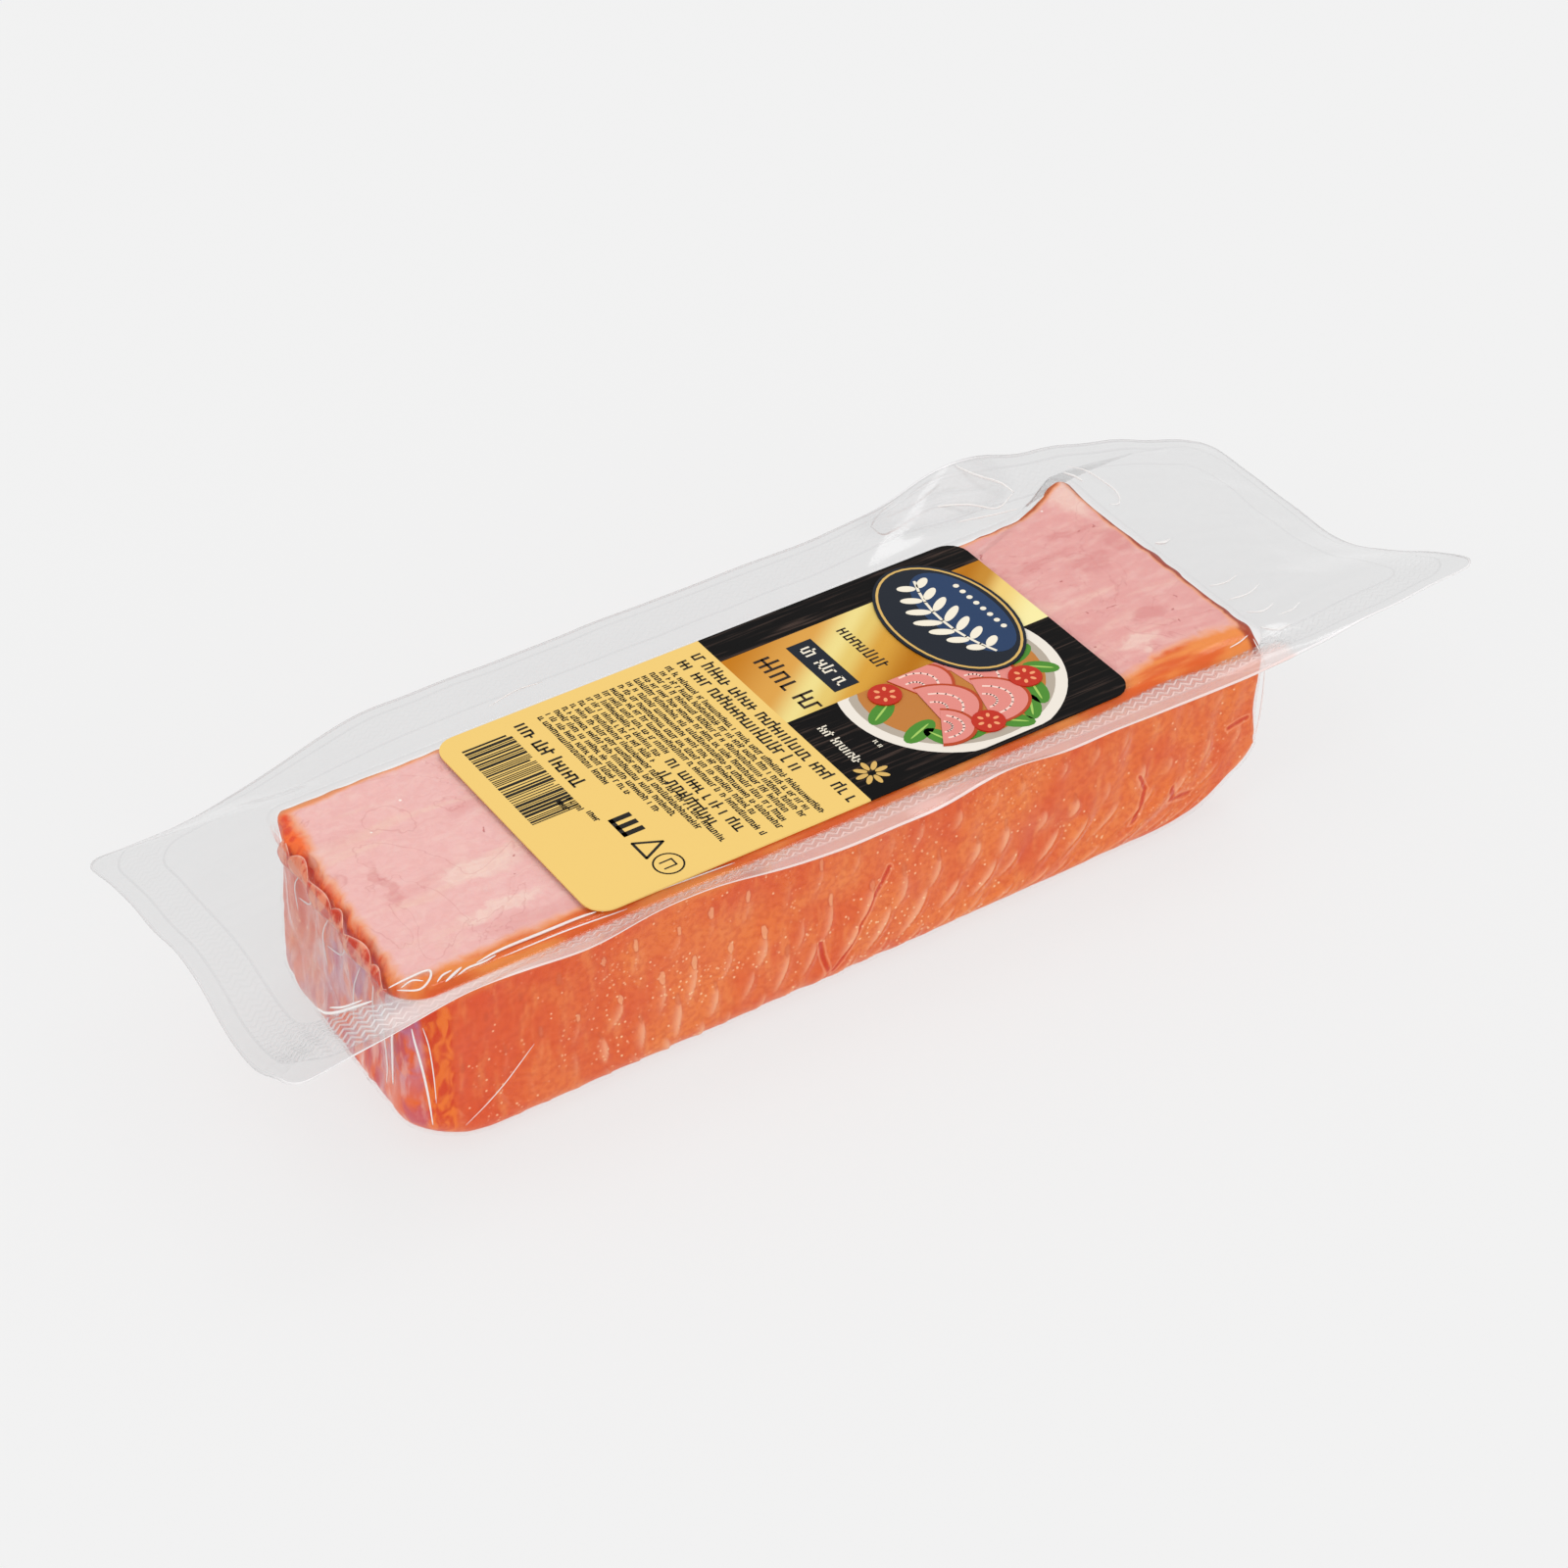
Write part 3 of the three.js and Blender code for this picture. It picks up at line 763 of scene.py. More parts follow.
# %% Ham block
def ham_rings():
    """All rings, moved out by the wall's relief and in by the pleats, and the numbers for the finish.
    The relief starts on the rounded edge and ends on the underside."""
    top = ham_top_rings(ham_outline(HAM_STEPS, grow=-HAM_GAP, ear_share=1))
    rings = np.array(top + ham_wall_rings(top[-1][:, 2]))
    share = np.zeros(len(rings))
    share[len(top) - 4:] = 1
    share[len(top) - 7:len(top) - 4] = (0.2, 0.5, 0.8)
    share[-4:] = (0.5, 0, 0, 0)
    share = share[:, None]
    z = rings[:, :, 2]
    run = np.broadcast_to(run_along(HAM_STEPS), z.shape)
    relief = (wall_relief(run, z) - SHRINK) * share
    rings[:, :, :2] += np.array([outward(ring) for ring in rings]) * relief[:, :, None]
    rings[:, :, 0] += pleats(rings[:, :, 0], rings[:, :, 1], z) * share
    inside = rind_inside(rings[:, :, 0], rings[:, :, 1])
    inside[len(top) - 1:] = -4
    ovals, streaks = net_marks(run, z)
    return rings, {"oval": ovals * share, "streak": streaks * share,
                   "crease": crease_marks(run, z) * share, "rind_edge": inside}


rings, numbers = ham_rings()
make_piece("ham_block", ring_skin("ham_block", rings, numbers), pork,
           replaced=["vacuum_pack"])

# %% [markdown]
# ## The film
#
# Polyamide and polyethylene film is clear and glossy: nearly all light goes straight through, and only
# a few percent is mirrored, more where the film is seen edge-on. So the shader is a transparent one
# with a milky veil and a glossy one laid over it by the angle. Where the film lies tight on the moist
# ham the veil nearly vanishes; where both webs are loose, in the flange, it is greyer. The weld is
# knurled: a toothed roller pressed it in zigzag rows, which scatter light and look white.

# %% Film finish
KNURL_PITCH, KNURL_ROW = 2.4, 1.2  # mm from tooth to tooth along a row, and from row to row
KNURL_SLOPE = 0.75  # how steeply a row zigzags
TIGHT_VEIL, LOOSE_VEIL = 0.004, 0.07  # shares of light that one side of the film scatters
LOOSE_SHADE = 0.05  # the share that one side of the loose film stops
MIRROR_STRAIGHT, MIRROR_SLANT = 0.022, 0.9  # shares mirrored straight on, and added edge-on
TENT_GLARE = (60, 37, 39), (19, 8, 12)  # centre and reach in mm of two painted highlights: white glare on the tent and by the front left corner
CORNER_GLARE = (-77, -28, 36), (20, 8, 12)


def film_finish():
    """Clear packing film: transparent, mirror-like at a slant, slightly milky, knurled in its weld."""
    m = new_material("clear polyamide film")
    where, x, y, _ = place(m)
    loose, weld, edge = (
        add(m, "mesh number", attribute_name=name) for name in ("loose", "weld", "edge"))

    # the knurl, weak at the back and at the right, and smoothed out near the front left corner
    tooth = add(m, "multiply_add", add(m, "pingpong", x, KNURL_PITCH / 2), KNURL_SLOPE, y)
    row = add(m, "pingpong", tooth, KNURL_ROW / 2)
    smooth = add(m, "multiply", add(m, "ease", x, -87, -82), add(m, "ease", x, -56, -64))
    knurl = add(m, "multiply", add(m, "ease", row, 0.06, 0.3, 1, 0), add(m, "ease", weld, -0.05, 0.2))
    for share in (add(m, "ease", y, -8, -22, 0.02, 0.38), add(m, "ease", smooth, 0, 1, 1, 0.3),
                  add(m, "ease", x, 85, 90, 1, 0.15)):
        knurl = add(m, "multiply", knurl, share)

    # the veil: the weld's outline, the cut edge and the milky strip in front add to it, and so do two
    # painted highlights of white glare
    streaks = lumps(m, where, 9, stretch=(3, 0.6, 1), detail=4, warp=0.6)
    outline = add(m, "ease", add(m, "absolute", weld), 0.06, 0.3, 0.16, 0)
    rim = add(m, "ease", edge, 0.22, 0.5, 1, 0)
    rim = add(m, "multiply", rim, add(m, "ease", y, -24, -30, 0.5, 0.85))
    strip = add(m, "multiply", add(m, "ease", x, 88, 84), add(m, "ease", x, -92, -84))
    strip = add(m, "multiply", strip, add(m, "ease", y, -25.5, -28, 0, 0.24))
    # painted highlight: two white patches of glare, on the tent behind the block and by the front left
    # corner, painted into the veil
    glare = add(m, "ease", streaks, 0.36, 0.52, 0.18, 0.5)
    glare = add(m, "multiply", spot(m, where, *TENT_GLARE), glare)
    glare = add(m, "multiply_add", spot(m, where, *CORNER_GLARE), 0.3, glare)
    veil = add(m, "multiply_add", loose, LOOSE_VEIL, TIGHT_VEIL)
    veil = add(m, "multiply_add", veil, add(m, "ease", streaks, 0.3, 0.75, 0.85, 1.15), knurl)
    for more in (outline, rim, strip, glare):
        veil = add(m, "multiply_add", more, loose, veil)
    tone = add(m, "mix", add(m, "add", knurl, rim), colour("#cfcfd0"), colour("#fbf8f8"))
    tone = add(m, "mix", add(m, "ease", strip, 0, 0.2), tone, colour("#f0dad5"))
    # painted highlight: the glare patches turn the veil's tone white
    tone = add(m, "mix", glare, tone, colour("#ffffff"))

    # light that goes through, light that the veil scatters, and light that is mirrored
    shade = add(m, "multiply_add", loose, -LOOSE_SHADE, 1)
    clear = add(m, "transparent", add(m, "combine", shade, shade, shade))
    body = add(m, "mix shader", veil, clear, add(m, "diffuse", tone))
    bump = add(m, "bump", Strength=0.7, Distance=0.0003, Height=knurl)
    slant = add(m, "power", add(m, "layer weight", Blend=0.5, Normal=bump), 5)
    mirror = add(m, "multiply_add", slant, MIRROR_SLANT, MIRROR_STRAIGHT)
    gloss = add(m, "glossy", Color=(1, 1, 1, 1), Roughness=0.1, Normal=bump)
    add(m, "output", add(m, "mix shader", mirror, body, gloss))
    return m


film = film_finish()
print(film.name, "is a graph of", len(film.node_tree.nodes), "nodes")

# %% [markdown]
# The film's mesh is one welded skin: flat over the ham, a small step down at the rim, out along the
# top of the flange, round its cut edge, back underneath and down the pocket's wall. It follows the
# ham's relief, since it is drawn tight onto it, and hangs in pleats at the left end, where there is
# film to spare. The weld is the field between two rounded rectangles.

# %% Weld
FILM_STEPS = (320, 70, 160, 12)  # points along the front, each end, the back and each corner
FLANGE_WALL = 0.2  # both webs, welded
FILM_RISE = 0.22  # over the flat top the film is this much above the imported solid, just under the label
FILM_RELIEF = 0.8  # the film takes this share of the ham's relief
WELD_OUTER, WELD_OUTER_CORNER = (-103.2, 124.5, -29.5, 38.8), 7  # left, right, front and back
WELD_INNER, WELD_INNER_CORNER = (-97.5, 117, -20.5, 32), 5
STEP_VEIL = (1.5, 2, 2, 2, 2, 2, 2, 1.5)  # how much milkier than the flange the rings of the step are


def weld_inside(x, y):
    """Distance in mm inside the weld: within its outer limit and outside its inner one, which lies
    nearer to the front edge along the block than beside it."""
    shift = 4.4 * smoothstep(x, -95, -83) * smoothstep(-y, 8, 20)
    return np.minimum(-box_distance(x, y, WELD_OUTER, WELD_OUTER_CORNER),
                      box_distance(x, y + shift, WELD_INNER, WELD_INNER_CORNER))


# %% Rings of the film
def tight_rings():
    """Over the ham: flat, slightly raised to just under the label, and then the step at the rim, an
    eased fall from one outline to the next."""
    rings = []
    edge, rim = step_line(FILM_STEPS, grow=-0.8), step_line(FILM_STEPS, grow=STEP_OUT)
    for size in (0.06, 0.3, 0.55, 0.75, 0.88, 0.95, 0.985, 1):
        flat = edge * size
        rings.append(with_height(flat, top_height(*flat.T) + FILM_RISE * (1 - size ** 12)))
    for share in np.linspace(0, 1, 9)[1:-1]:
        z = lerp(top_height(*edge.T), rim_height(*rim.T), smoothstep(share, 0, 1))
        rings.append(with_height(lerp(edge, rim, share), z))
    return rings


def flange_rings():
    """The top of the flange, from the rim to its outer edge: straight from outline to outline, with a
    height that follows a power of the share, and gentle waves."""
    rings = []
    rim = step_line(FILM_STEPS, grow=STEP_OUT)
    outer = rounded_outline(*FLANGE, np.full(4, FLANGE_CORNER), FILM_STEPS)
    outer_z = HAM_TOP + flange_lift(*outer.T)
    width = np.linalg.norm(outer - rim, axis=1)
    for share in 1 - (1 - np.linspace(0, 1, 27)) ** 1.25:
        flat = lerp(rim, outer, share)
        wave = 0.16 * smoothstep(width * share, 1, 12) * soft_noise(*flat.T, 15, seed=21)
        rings.append(with_height(flat, lerp(rim_height(*rim.T), outer_z, share ** FLANGE_BEND) + wave))
    return rings


def pocket_rings(foot):
    """The pocket, from the flange's underside down the wall and in below, with most of the relief of the
    ham that it is drawn onto."""
    rings = []
    run = run_along(FILM_STEPS)
    for share in np.linspace(0, 1, 40)[1:]:
        wall = ham_outline(FILM_STEPS, ear_share=1 - smoothstep(share, 0.05, 0.6))
        ring = with_height(lerp(foot[:, :2], wall, smoothstep(share, 0, 0.14)),
                           lerp(foot[:, 2], RIGHT_RISE, share))
        relief = FILM_RELIEF * smoothstep(share, 0.05, 0.2) * wall_relief(run, ring[:, 2])
        ring[:, :2] += outward(ring) * relief[:, None]
        ring[:, 0] += pleats(*ring.T)
        rings.append(ring)
    for z in np.concatenate([np.linspace(RIGHT_RISE, SIDE_RISE, 10)[1:],
                             SIDE_RISE * np.linspace(1, 0, 13)[1:] ** 1.7]):
        ring = with_height(base_outline(FILM_STEPS, z, 0), z)
        relief = FILM_RELIEF * smoothstep(z, 0.3, 5) * wall_relief(run, np.full(len(ring), z))
        ring[:, :2] += outward(ring) * relief[:, None]
        rings.append(ring)
    return rings + [with_height(rings[-1][:, :2] * size, 0) for size in (0.8, 0.5, 0.2)]


# %% Film skin
def film_rings():
    """All rings, from the middle of the top, round the flange's edge, to the middle below, and numbers
    for the finish: where the film is loose, and the distances inside the weld and the flange."""
    tight, flange = tight_rings(), flange_rings()
    under = [ring - (0, 0, FLANGE_WALL) for ring in reversed(flange)]
    rings = np.array(tight + flange + under + pocket_rings(under[-1]))
    loose = np.zeros(rings.shape[:2])
    at_step = slice(len(tight) - len(STEP_VEIL), len(tight))
    x, y = rings[at_step, :, 0], rings[at_step, :, 1]
    behind = smoothstep(y, -25, -18) * np.maximum(smoothstep(x, -81, -75), smoothstep(y, 18, 23))
    loose[at_step] = behind * np.array(STEP_VEIL)[:, None]
    loose[len(tight):len(tight) + len(flange) + len(under)] = 1
    x, y = rings[:, :, 0], rings[:, :, 1]
    return rings, {"loose": loose,
                   "weld": np.where(loose > 0, weld_inside(x, y), -3),
                   "edge": np.where(loose > 0, -box_distance(x, y, FLANGE, FLANGE_CORNER), 9)}


rings, numbers = film_rings()
make_piece("film_skin", ring_skin("film_skin", rings, numbers), film,
           replaced=["vacuum_pack"])

# %% [markdown]
# ## Folds in the film
#
# Where there was film to spare it creased when the pack was drawn tight: a salmon-tinted ribbon lies
# in scallops over the block's rounded left edge, small loops and ridges run beside the front weld, and
# a tent stands by the turned-up corner. The ribbon is a sheet rolled over the edge, and each ridge is
# a very thin tube that tapers at both ends. The folds are real shapes; their white colour is a painted
# highlight for the light that an edge of folded film mirrors.

# %% Fold tools
def smooth_path(points, steps=8):
    """A Catmull-Rom curve through the points: each piece is the cubic set by its four nearest points."""
    p = np.array(points, float)
    p = np.vstack([2 * p[0] - p[1], p, 2 * p[-1] - p[-2]])
    t = (np.arange(steps) / steps)[:, None]
    pieces = [0.5 * (2 * b + (c - a) * t + (2 * a - 5 * b + 4 * c - d) * t ** 2
                     + (3 * b - a - 3 * c + d) * t ** 3)
              for a, b, c, d in zip(p[:-3], p[1:-2], p[2:-1], p[3:])]
    return np.vstack(pieces + [p[-2:-1]])


def tubes(name, paths, radii, sides=6):
    """One mesh of closed tubes along smooth paths; each tapers towards both of its ends."""
    points, corners, counts, start = [], [], [], 0
    angle = 2 * math.pi * np.arange(sides) / sides
    for path, radius in zip(paths, radii):
        middle = smooth_path(path)
        along = np.gradient(middle, axis=0)
        along /= np.linalg.norm(along, axis=1)[:, None]
        across = np.cross(along, (0.2, 0.1, 1.0))
        across /= np.linalg.norm(across, axis=1)[:, None]
        up = np.cross(across, along)
        share = np.linspace(0, 1, len(middle))
        size = radius * (0.25 + 0.75 * np.sin(math.pi * share) ** 0.5)
        spokes = across[:, None] * np.cos(angle)[:, None] + up[:, None] * np.sin(angle)[:, None]
        points.append((middle[:, None] + size[:, None, None] * spokes).reshape(-1, 3))
        here = start + np.arange(len(middle) * sides).reshape(-1, sides)
        quads = joined_rows(here)
        corners += [quads.ravel(), here[0], here[-1, ::-1]]
        counts += [np.full(len(quads), 4), [sides, sides]]
        start += len(middle) * sides
    return make_mesh(name, np.vstack(points), np.concatenate(corners), np.concatenate(counts))


# %% Finish of the folds
def fold_glint_finish():
    """The edge of a fold in clear film, with a painted highlight: mostly white, with a bright gloss, a
    quarter see-through.
    """
    m = new_material("folded film edge with painted glint")
    # painted highlight: the white base colour stands for the glint on each fold's edge
    white = add(m, "principled", Base_Color=colour("#fdfbf9"), Roughness=0.25)
    add(m, "output", add(m, "mix shader", 0.72, add(m, "transparent", (1, 1, 1, 1)), white))
    return m


def ribbon_finish():
    """Doubled film over the smoked skin: a see-through salmon tint, glossy, with a painted highlight that
    makes it paler and less clear along its rim.
    """
    m = new_material("doubled film over the skin")
    where = place(m)[0]
    rim = add(m, "mesh number", attribute_name="rim")
    patches = lumps(m, where, 2.5, stretch=(1, 0.6, 1.5), detail=3)
    tint = add(m, "mix", add(m, "ease", patches, 0.44, 0.58), colour("#e43e0a"), colour("#ffa37a"))
    # painted highlight: pale glint lines along the edges of the scallops
    tint = add(m, "mix", add(m, "multiply", rim, 0.7), tint, colour("#ffd8c4"))
    film = add(m, "principled", Base_Color=tint, Roughness=0.16, Specular_IOR_Level=0.2)
    share = add(m, "multiply_add", rim, 0.25, 0.6)
    add(m, "output", add(m, "mix shader", share, add(m, "transparent", (1, 1, 1, 1)), film))
    return m


fold_edge_glint, doubled_film = fold_glint_finish(), ribbon_finish()
print("finishes:", fold_edge_glint.name, "and", doubled_film.name)

# %% Ribbon over the left edge
RIBBON_RADIUS = 3.4
RIBBON_PITCH = 7.4  # mm from scallop to scallop
RIBBON_HANG = 4.5  # mm that its lower part hangs down
RIBBON_THICK = 0.06


def ribbon_mesh():
    """A sheet rolled over the rounded edge: t runs over it from a scalloped rim on top to the side, and
    y along it. The angle round the edge goes from a scalloped start to a right angle at 0.6 of t, and
    the rest hangs straight down. Waves lift it here and there."""
    y, t = np.meshgrid(np.linspace(19.5, -20.5, 150), np.linspace(0, 1, 16), indexing="ij")
    scallop = np.abs(np.sin(math.pi * (y - 1.6 + 0.8 * np.sin(y * 0.4)) / RIBBON_PITCH)) ** 0.8
    first = np.radians(46 + 26 * (1 - scallop))
    angle = lerp(first, math.radians(90), np.minimum(1, t / 0.6))
    radius = RIBBON_RADIUS + 0.42 * np.sin(2 * math.pi * y / 3.9 + 2.5 * t) * np.sin(math.pi * t)
    x = left_edge(y) + 2.7 - radius * np.sin(angle)
    z = HAM_TOP - 3.4 + radius * np.cos(angle) - RIBBON_HANG * np.maximum(0, t - 0.6)
    x += pleats(x, y, z)
    here = np.arange(y.size).reshape(y.shape)
    quads = np.stack([here[:-1, :-1], here[:-1, 1:], here[1:, 1:], here[1:, :-1]], axis=-1).reshape(-1, 4)
    # where the painted highlight lies: near both long edges of the sheet
    rim = np.maximum(smoothstep(-t, -0.1, 0), smoothstep(t, 0.95, 1)).ravel()
    return make_mesh("film_ribbon", np.stack([x, y, z], axis=-1).reshape(-1, 3), quads.ravel(),
                     np.full(len(quads), 4), {"rim": rim})


ribbon = make_piece("film_ribbon", ribbon_mesh(), doubled_film, replaced=["vacuum_pack"])
sheet = ribbon.modifiers.new("film", "SOLIDIFY")
sheet.thickness = RIBBON_THICK * MM
sheet.offset = 0

# %% Ridges, loops and glints
TOP_RIDGES = (  # x and y on the flat top and the weld, with the ridge's radius
    (((-70.2, -24.8), (-65.5, -24.2), (-58, -24.3), (-51.8, -24.4), (-48.7, -24.7)), 0.24),
    (((-48, -25.2), (-40, -25.5), (-31, -25.9), (-24, -26.2)), 0.13),
    (((-66, -25.7), (-55, -25.8), (-44, -26.3)), 0.12),
    (((-84.2, -22.4), (-81, -22.1), (-77.2, -22.2), (-77.9, -24), (-80.5, -25.3), (-83.4, -23.6)), 0.2),
    (((-82.6, -23.4), (-80.4, -22.9), (-79, -23.9)), 0.14),
    (((-77.4, -25.3), (-75.9, -24.4), (-74.2, -24.2)), 0.17),
    (((-76.2, -25.8), (-74.3, -25.1), (-72.6, -24.4)), 0.24),
    (((-73.9, -25.6), (-71.8, -25.1), (-69.2, -25.2), (-66.8, -24.9)), 0.18),
    (((82.3, -23.8), (80.2, -24.3), (77.8, -24.5)), 0.12),
    (((82.9, -24.6), (82.2, -27.6), (80.8, -30.6)), 0.14),
)
FLANGE_RIDGES = (  # x and y on the loose flange, with the radius
    (((-93.9, -17.2), (-93.6, -19.3), (-92.2, -20.9), (-89.6, -22), (-87.2, -22.6)), 0.26),
    (((-92.6, -18.8), (-91, -20.6), (-88.3, -21.4)), 0.2),
    (((86.6, 33.2), (88.9, 30.6), (90, 26.5), (90.3, 23), (88.6, 20.2), (86.4, 20.4)), 0.15),
    (((84.6, 31.8), (85.6, 29.9), (86.2, 27.8)), 0.2),
    (((86.4, 7), (88.2, 6.6), (89.9, 7.2)), 0.3),
    (((86.2, -8.5), (89.5, -8.9), (93.5, -7.6)), 0.14),
    (((86.4, -13.5), (90.4, -13.8), (94.5, -12.2)), 0.14),
    (((86.6, -18), (89.2, -19.4), (92.4, -18.6)), 0.14),
    (((86, -22.6), (88.5, -24.4), (91.4, -24.6)), 0.2),
    (((90.8, -21.8), (93.6, -22), (96.2, -21)), 0.12),
)
BACK_RIDGES = (  # x and y on the flange behind the block, where it stands up in a tent
    (((46.4, 37.6), (47.2, 34.6), (52, 34.8), (58, 34.9), (64, 32.7), (68.6, 30), (73.6, 31.8)),
     0.2),
    (((73.6, 31.8), (72.5, 34.6), (69, 37.4), (66.4, 40)), 0.22),
    (((46.4, 37.6), (49, 39.2), (53.1, 40.1)), 0.16),
    (((50, 37.8), (56, 37.4), (62, 38.2)), 0.22), (((55, 39.2), (60, 39.5), (64, 39.3)), 0.3),
    (((60, 30.4), (67, 29), (72, 28.2)), 0.14), (((-36, 30.5), (-30, 31.8), (-25, 31.4)), 0.1),
)
WALL_RIDGES = (  # x and z on the front wall
    (((-83.2, 31.2), (-82.9, 28.6), (-82.2, 24), (-81.7, 20.2), (-81.2, 15), (-80.9, 9.8)), 0.2),
    (((-81.3, 30.4), (-80.5, 26), (-80.1, 20), (-80, 14)), 0.11),
    (((-62.2, 17.4), (-65, 14.6), (-67.8, 11.9), (-71.4, 9.1), (-75.2, 6.7)), 0.09),
    (((84.0, 30), (84.1, 25), (83.9, 20), (83.2, 15)), 0.16),
)
END_RIDGES = (  # y and z on the left end
    (((-22.5, 31), (-20.8, 26), (-20.2, 20), (-19.6, 14)), 0.22),
    (((-18.2, 31), (-17.5, 24), (-17.9, 17), (-16.9, 12)), 0.14),
    (((-13.6, 31.5), (-12.2, 25), (-13, 19)), 0.13), (((-9, 30), (-6.5, 24), (-5, 16)), 0.12),
    (((-3, 29), (0, 25.5), (4, 24.6)), 0.12), (((3, 31), (5.2, 26), (4.6, 20)), 0.12),
    (((9.5, 30.5), (12, 27), (15.5, 26)), 0.14), (((14.8, 31), (16.4, 27.8), (16, 23)), 0.12),
)
print("ridges:", sum(map(len, (TOP_RIDGES, FLANGE_RIDGES, BACK_RIDGES, WALL_RIDGES, END_RIDGES))))

# %% [markdown]
# Each path above has only two coordinates. The third comes from the surface that the ridge lies on, so
# there is one function for each surface, with the same formula as in the film's rings.

# %% Ridges laid on the film
def on_top(x, y):
    """On the film just inside the flange, on the step or on the weld's inner part."""
    return x, y, top_height(x, y) + 0.05 - pressed(x, y)


def on_flange(x, y):
    """On the loose flange beyond the block's two ends: between its outline and the outer edge."""
    rim_x = np.where(x < 0, left_edge(y) - STEP_OUT, HAM_RIGHT + STEP_OUT)
    edge_x = np.where(x < 0, FLANGE[0], FLANGE[1])
    share = np.clip((x - rim_x) / (edge_x - rim_x), 0, 1)
    rim = rim_height(np.where(x < 0, HAM_LEFT, HAM_RIGHT), y)
    outer = HAM_TOP + flange_lift(edge_x, y * lerp(1.25, 1, share))
    return x, y, lerp(rim, outer, share ** FLANGE_BEND) + 0.1


def on_back(x, y):
    """On the flange behind the block."""
    rim_y, edge_y = HAM_BACK + STEP_OUT, FLANGE[3]
    share = np.clip((y - rim_y) / (edge_y - rim_y), 0, 1)
    outer = HAM_TOP + flange_lift(x, np.full_like(x, edge_y))
    return x, y, lerp(rim_height(x, rim_y), outer, share ** FLANGE_BEND) + 0.1


def on_front(x, z):
    """On the front wall."""
    return x, np.full_like(x, HAM_FRONT - 0.05), z


def on_left_end(y, z):
    """On the left end, between its pleats."""
    x = left_edge(y)
    return x + pleats(x, y, z) - 0.1, y, z


paths, radii = [], []
for ridges, surface in ((TOP_RIDGES, on_top), (FLANGE_RIDGES, on_flange), (BACK_RIDGES, on_back),
                        (WALL_RIDGES, on_front), (END_RIDGES, on_left_end)):
    for path, radius in ridges:
        paths.append(np.stack(surface(*np.array(path).T), axis=1))
        radii.append(radius)
make_piece("film_folds", tubes("film_folds", paths, radii), fold_edge_glint,
           replaced=["vacuum_pack"])

# %% [markdown]
# ## The label
#
# Coated paper with a satin surface, printed in fields: a warm yellow half, and a half with black wood
# grain and a gold band. Its solid is right as it is, so it stays and gets this material. Each field is
# a comparison of the place with a line in millimetres. Coated paper has a roughness near 0.4, and its
# gloss is set low, so that the black stays black under the wide lamps.

# %% Label paper
YELLOW_END = 2.3  # x where the yellow field ends
BAND_FRONT, BAND_BACK = -1.7, 18.5  # the gold band's two sides
GOLD_SLANT = -1.37  # mm that the gold's shading shifts along x for each mm along y
GOLD_START, GOLD_LENGTH = -22, 76  # where the shading starts, and how far it runs
GOLD_TONES = ((0.0, "#c27814"), (0.24, "#dba04a"), (0.36, "#edda8b"), (0.43, "#e3c56c"),
              (0.52, "#d79f3c"), (0.67, "#b87312"), (0.75, "#c68a30"), (0.84, "#efcd7a"),
              (1.0, "#f6eaa6"))


def label_finish():
    """Coated label paper printed in flat yellow, dark wood grain and shaded gold, with a satin sheen."""
    m = new_material("coated label paper")
    where, x, y, _ = place(m)
    grain = lumps(m, where, 1.0, stretch=(16, 0.7, 1), detail=5, warp=0.9)
    boards = lumps(m, where, 7, stretch=(5, 1, 1), detail=2, warp=0.4)
    wood = add(m, "mix", add(m, "ease", grain, 0.5, 0.74), colour("#060404"), colour("#4a3a33"))
    wood = add(m, "mix", add(m, "ease", boards, 0.45, 0.7, 0, 0.6), wood, colour("#050404"))

    run = add(m, "multiply_add", y, GOLD_SLANT, x)
    run = add(m, "multiply_add", run, 1 / GOLD_LENGTH, -GOLD_START / GOLD_LENGTH)
    gold = add(m, "colour ramp", run)
    ramp = gold.node.color_ramp
    ramp.interpolation = "EASE"
    for at, tone in GOLD_TONES:
        stop = ramp.elements[0] if at == 0 else ramp.elements[-1] if at == 1 else ramp.elements.new(at)
        stop.color = colour(tone)

    in_band = add(m, "multiply", add(m, "greater_than", y, BAND_FRONT), add(m, "less_than", y, BAND_BACK))
    dark_half = add(m, "mix", in_band, wood, gold)
    fields = add(m, "mix", add(m, "greater_than", x, YELLOW_END), colour("#f0cb76"), dark_half)
    add(m, "output", add(m, "principled", Base_Color=fields, Roughness=0.42, Specular_IOR_Level=0.06))
    return m


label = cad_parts["label"]
label.material_slots[0].material = label_finish()

# %% [markdown]
# ## The print on the label
#
# Print has no thickness, but a layer of ink can be made as flat slabs a few hundredths of a millimetre
# high, which catches the light like the paper under it. Rows of fine text become rows of short
# strokes in words, which say nothing. Every outline is a row of points, counter-clockwise seen from
# above, and slabs of one ink make one piece. The words read along -y, and the lines follow each other
# towards -x.

# %% Print tools
INK_LOW, INK_TOP = 37.05, 37.12  # mm: the ink's foot, just inside the label, and its lowest layer's top
INK_STEP = 0.012  # each layer of ink lies this much higher than the one under it


